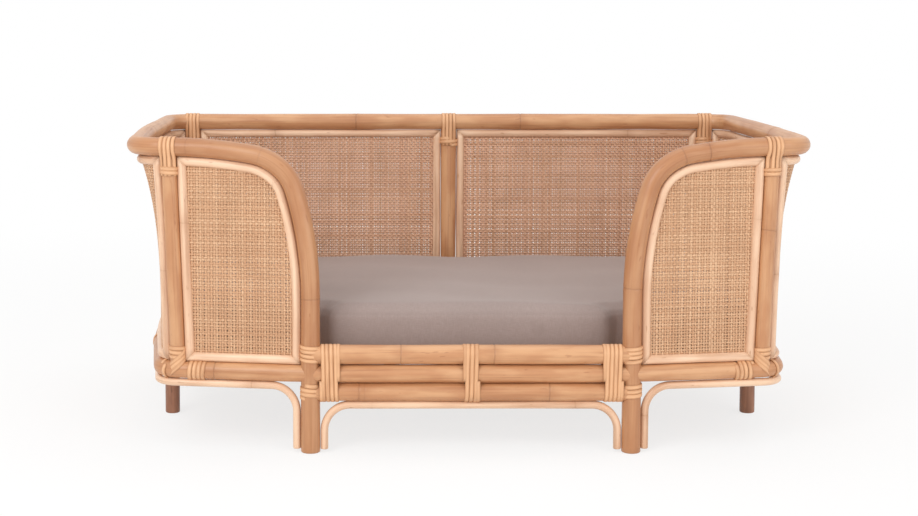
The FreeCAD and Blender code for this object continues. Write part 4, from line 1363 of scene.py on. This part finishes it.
class Stage(bpy.types.Operator):
    """Floor, white surround, soft lamps and the camera"""

    bl_idname = "daybed.stage"
    bl_label = "Stage"

    def execute(self, context):
        scene = context.scene
        scene.view_settings.view_transform = "Standard"
        self.floor()
        self.surround(scene)
        for lamp in LAMPS:
            self.lamp(*lamp)
        camera = bpy.data.cameras.new("camera")
        camera.lens = CAMERA_LENS
        camera.shift_x, camera.shift_y = CAMERA_SHIFT
        camera.clip_end = 200
        seat = bpy.data.objects.new("camera", camera)
        seat.location = CAMERA_PLACE
        seat.rotation_euler = Euler((math.radians(CAMERA_TILT), 0, 0))
        scene.collection.objects.link(seat)
        scene.camera = seat
        return {"FINISHED"}

    def floor(self):
        """A wide flat floor, a few tenths of a millimetre under the feet, that fades to white far away."""
        ring = np.linspace(0, 2 * np.pi, 65)[:-1]
        reach = np.array((0.5, 2.0, 8.0, 60.0)) * 1000
        points = np.stack([np.outer(reach, np.cos(-ring)), np.outer(reach, np.sin(-ring))], axis=-1)
        points = np.concatenate([points, np.full((*points.shape[:2], 1), -0.3)], axis=-1)
        index = np.arange(points.shape[0] * 64).reshape(-1, 64)
        following = np.roll(index, -1, axis=1)
        quads = np.stack([index[:-1], index[1:], following[1:], following[:-1]], axis=-1)
        centre = np.full(64, points.shape[0] * 64)
        threes = np.stack([centre, index[0], following[0]], axis=-1)
        flat = np.concatenate([points.reshape(-1, 3), [(0, 0, -0.3)]])
        skin = Skin()
        skin.add(flat, flat * MM, np.zeros_like(flat), quads=quads[..., ::-1], threes=threes[..., ::-1])
        finish = Finish(bpy.data.materials.new("floor"))
        place = finish.parts(finish.object_place())
        away = finish.maths("SQRT", place[0] * place[0] + place[1] * place[1], 0.0)
        speck = finish.noise(finish.stretched(finish.object_place(), 60, 60, 60), 2.0)
        tone = finish.blend(speck * 0.05, colours().floor, [value * 0.8 for value in colours().floor])
        matt = finish.node("ShaderNodeBsdfDiffuse", {}, {"Color": tone})
        glow = finish.node("ShaderNodeEmission", {}, {"Color": (1, 1, 1, 1), "Strength": 1.0})
        share = finish.seen() * (0.76 + 0.24 * away.between(0.75, 2.2))
        both = finish.node("ShaderNodeMixShader", {}, {0: share, 1: matt, 2: glow})
        finish.node("ShaderNodeOutputMaterial", {}, {"Surface": both})
        skin.build("floor", finish.made)

    def surround(self, scene):
        """A surround that looks white, and lights the daybed evenly from all sides."""
        world = bpy.data.worlds.new("surround")
        scene.world = world
        finish = Finish(world)
        shown = finish.node("ShaderNodeBackground", {}, {"Color": (1, 1, 1, 1), "Strength": 1.0})
        warm = (1, 0.99, 0.98, 1)
        light = finish.node("ShaderNodeBackground", {}, {"Color": warm, "Strength": WORLD_LIGHT})
        both = finish.node("ShaderNodeMixShader", {}, {0: finish.seen(), 1: light, 2: shown})
        finish.node("ShaderNodeOutputWorld", {}, {"Surface": both})

    def lamp(self, name, place, size, power):
        """A square soft lamp that faces the daybed's middle."""
        data = bpy.data.lights.new(name, "AREA")
        data.size = size
        data.energy = power
        made = bpy.data.objects.new(name, data)
        made.location = place
        made.rotation_euler = (Vector((0, 0, 0.2)) - Vector(place)).to_track_quat("-Z", "Y").to_euler()
        bpy.context.scene.collection.objects.link(made)


OPERATORS = (FramePoles, FrontRails, Braces, PanelTrims, Cane, Bindings, Deck, Cushion, Stage)


class DaybedPanel(bpy.types.Panel):
    """Lists the daybed's pieces, sizes and colours."""

    bl_idname = "VIEW3D_PT_daybed"
    bl_label = "Daybed"
    bl_space_type = "VIEW_3D"
    bl_region_type = "UI"
    bl_category = "Daybed"

    def draw(self, context):
        for operator in OPERATORS:
            self.layout.operator(operator.bl_idname)
        for group in (context.scene.daybed_sizes, context.scene.daybed_colours):
            for name in group.__annotations__:
                self.layout.prop(group, name)


def register():
    for made in (DaybedSizes, DaybedColours, *OPERATORS, DaybedPanel):
        bpy.utils.register_class(made)
    bpy.types.Scene.daybed_sizes = PointerProperty(type=DaybedSizes)
    bpy.types.Scene.daybed_colours = PointerProperty(type=DaybedColours)


def unregister():
    del bpy.types.Scene.daybed_colours
    del bpy.types.Scene.daybed_sizes
    for made in (DaybedPanel, *reversed(OPERATORS), DaybedColours, DaybedSizes):
        bpy.utils.unregister_class(made)


def main():
    register()
    for operator in OPERATORS:
        family, name = operator.bl_idname.split(".")
        getattr(getattr(bpy.ops, family), name)()


if __name__ == "__main__":
    main()
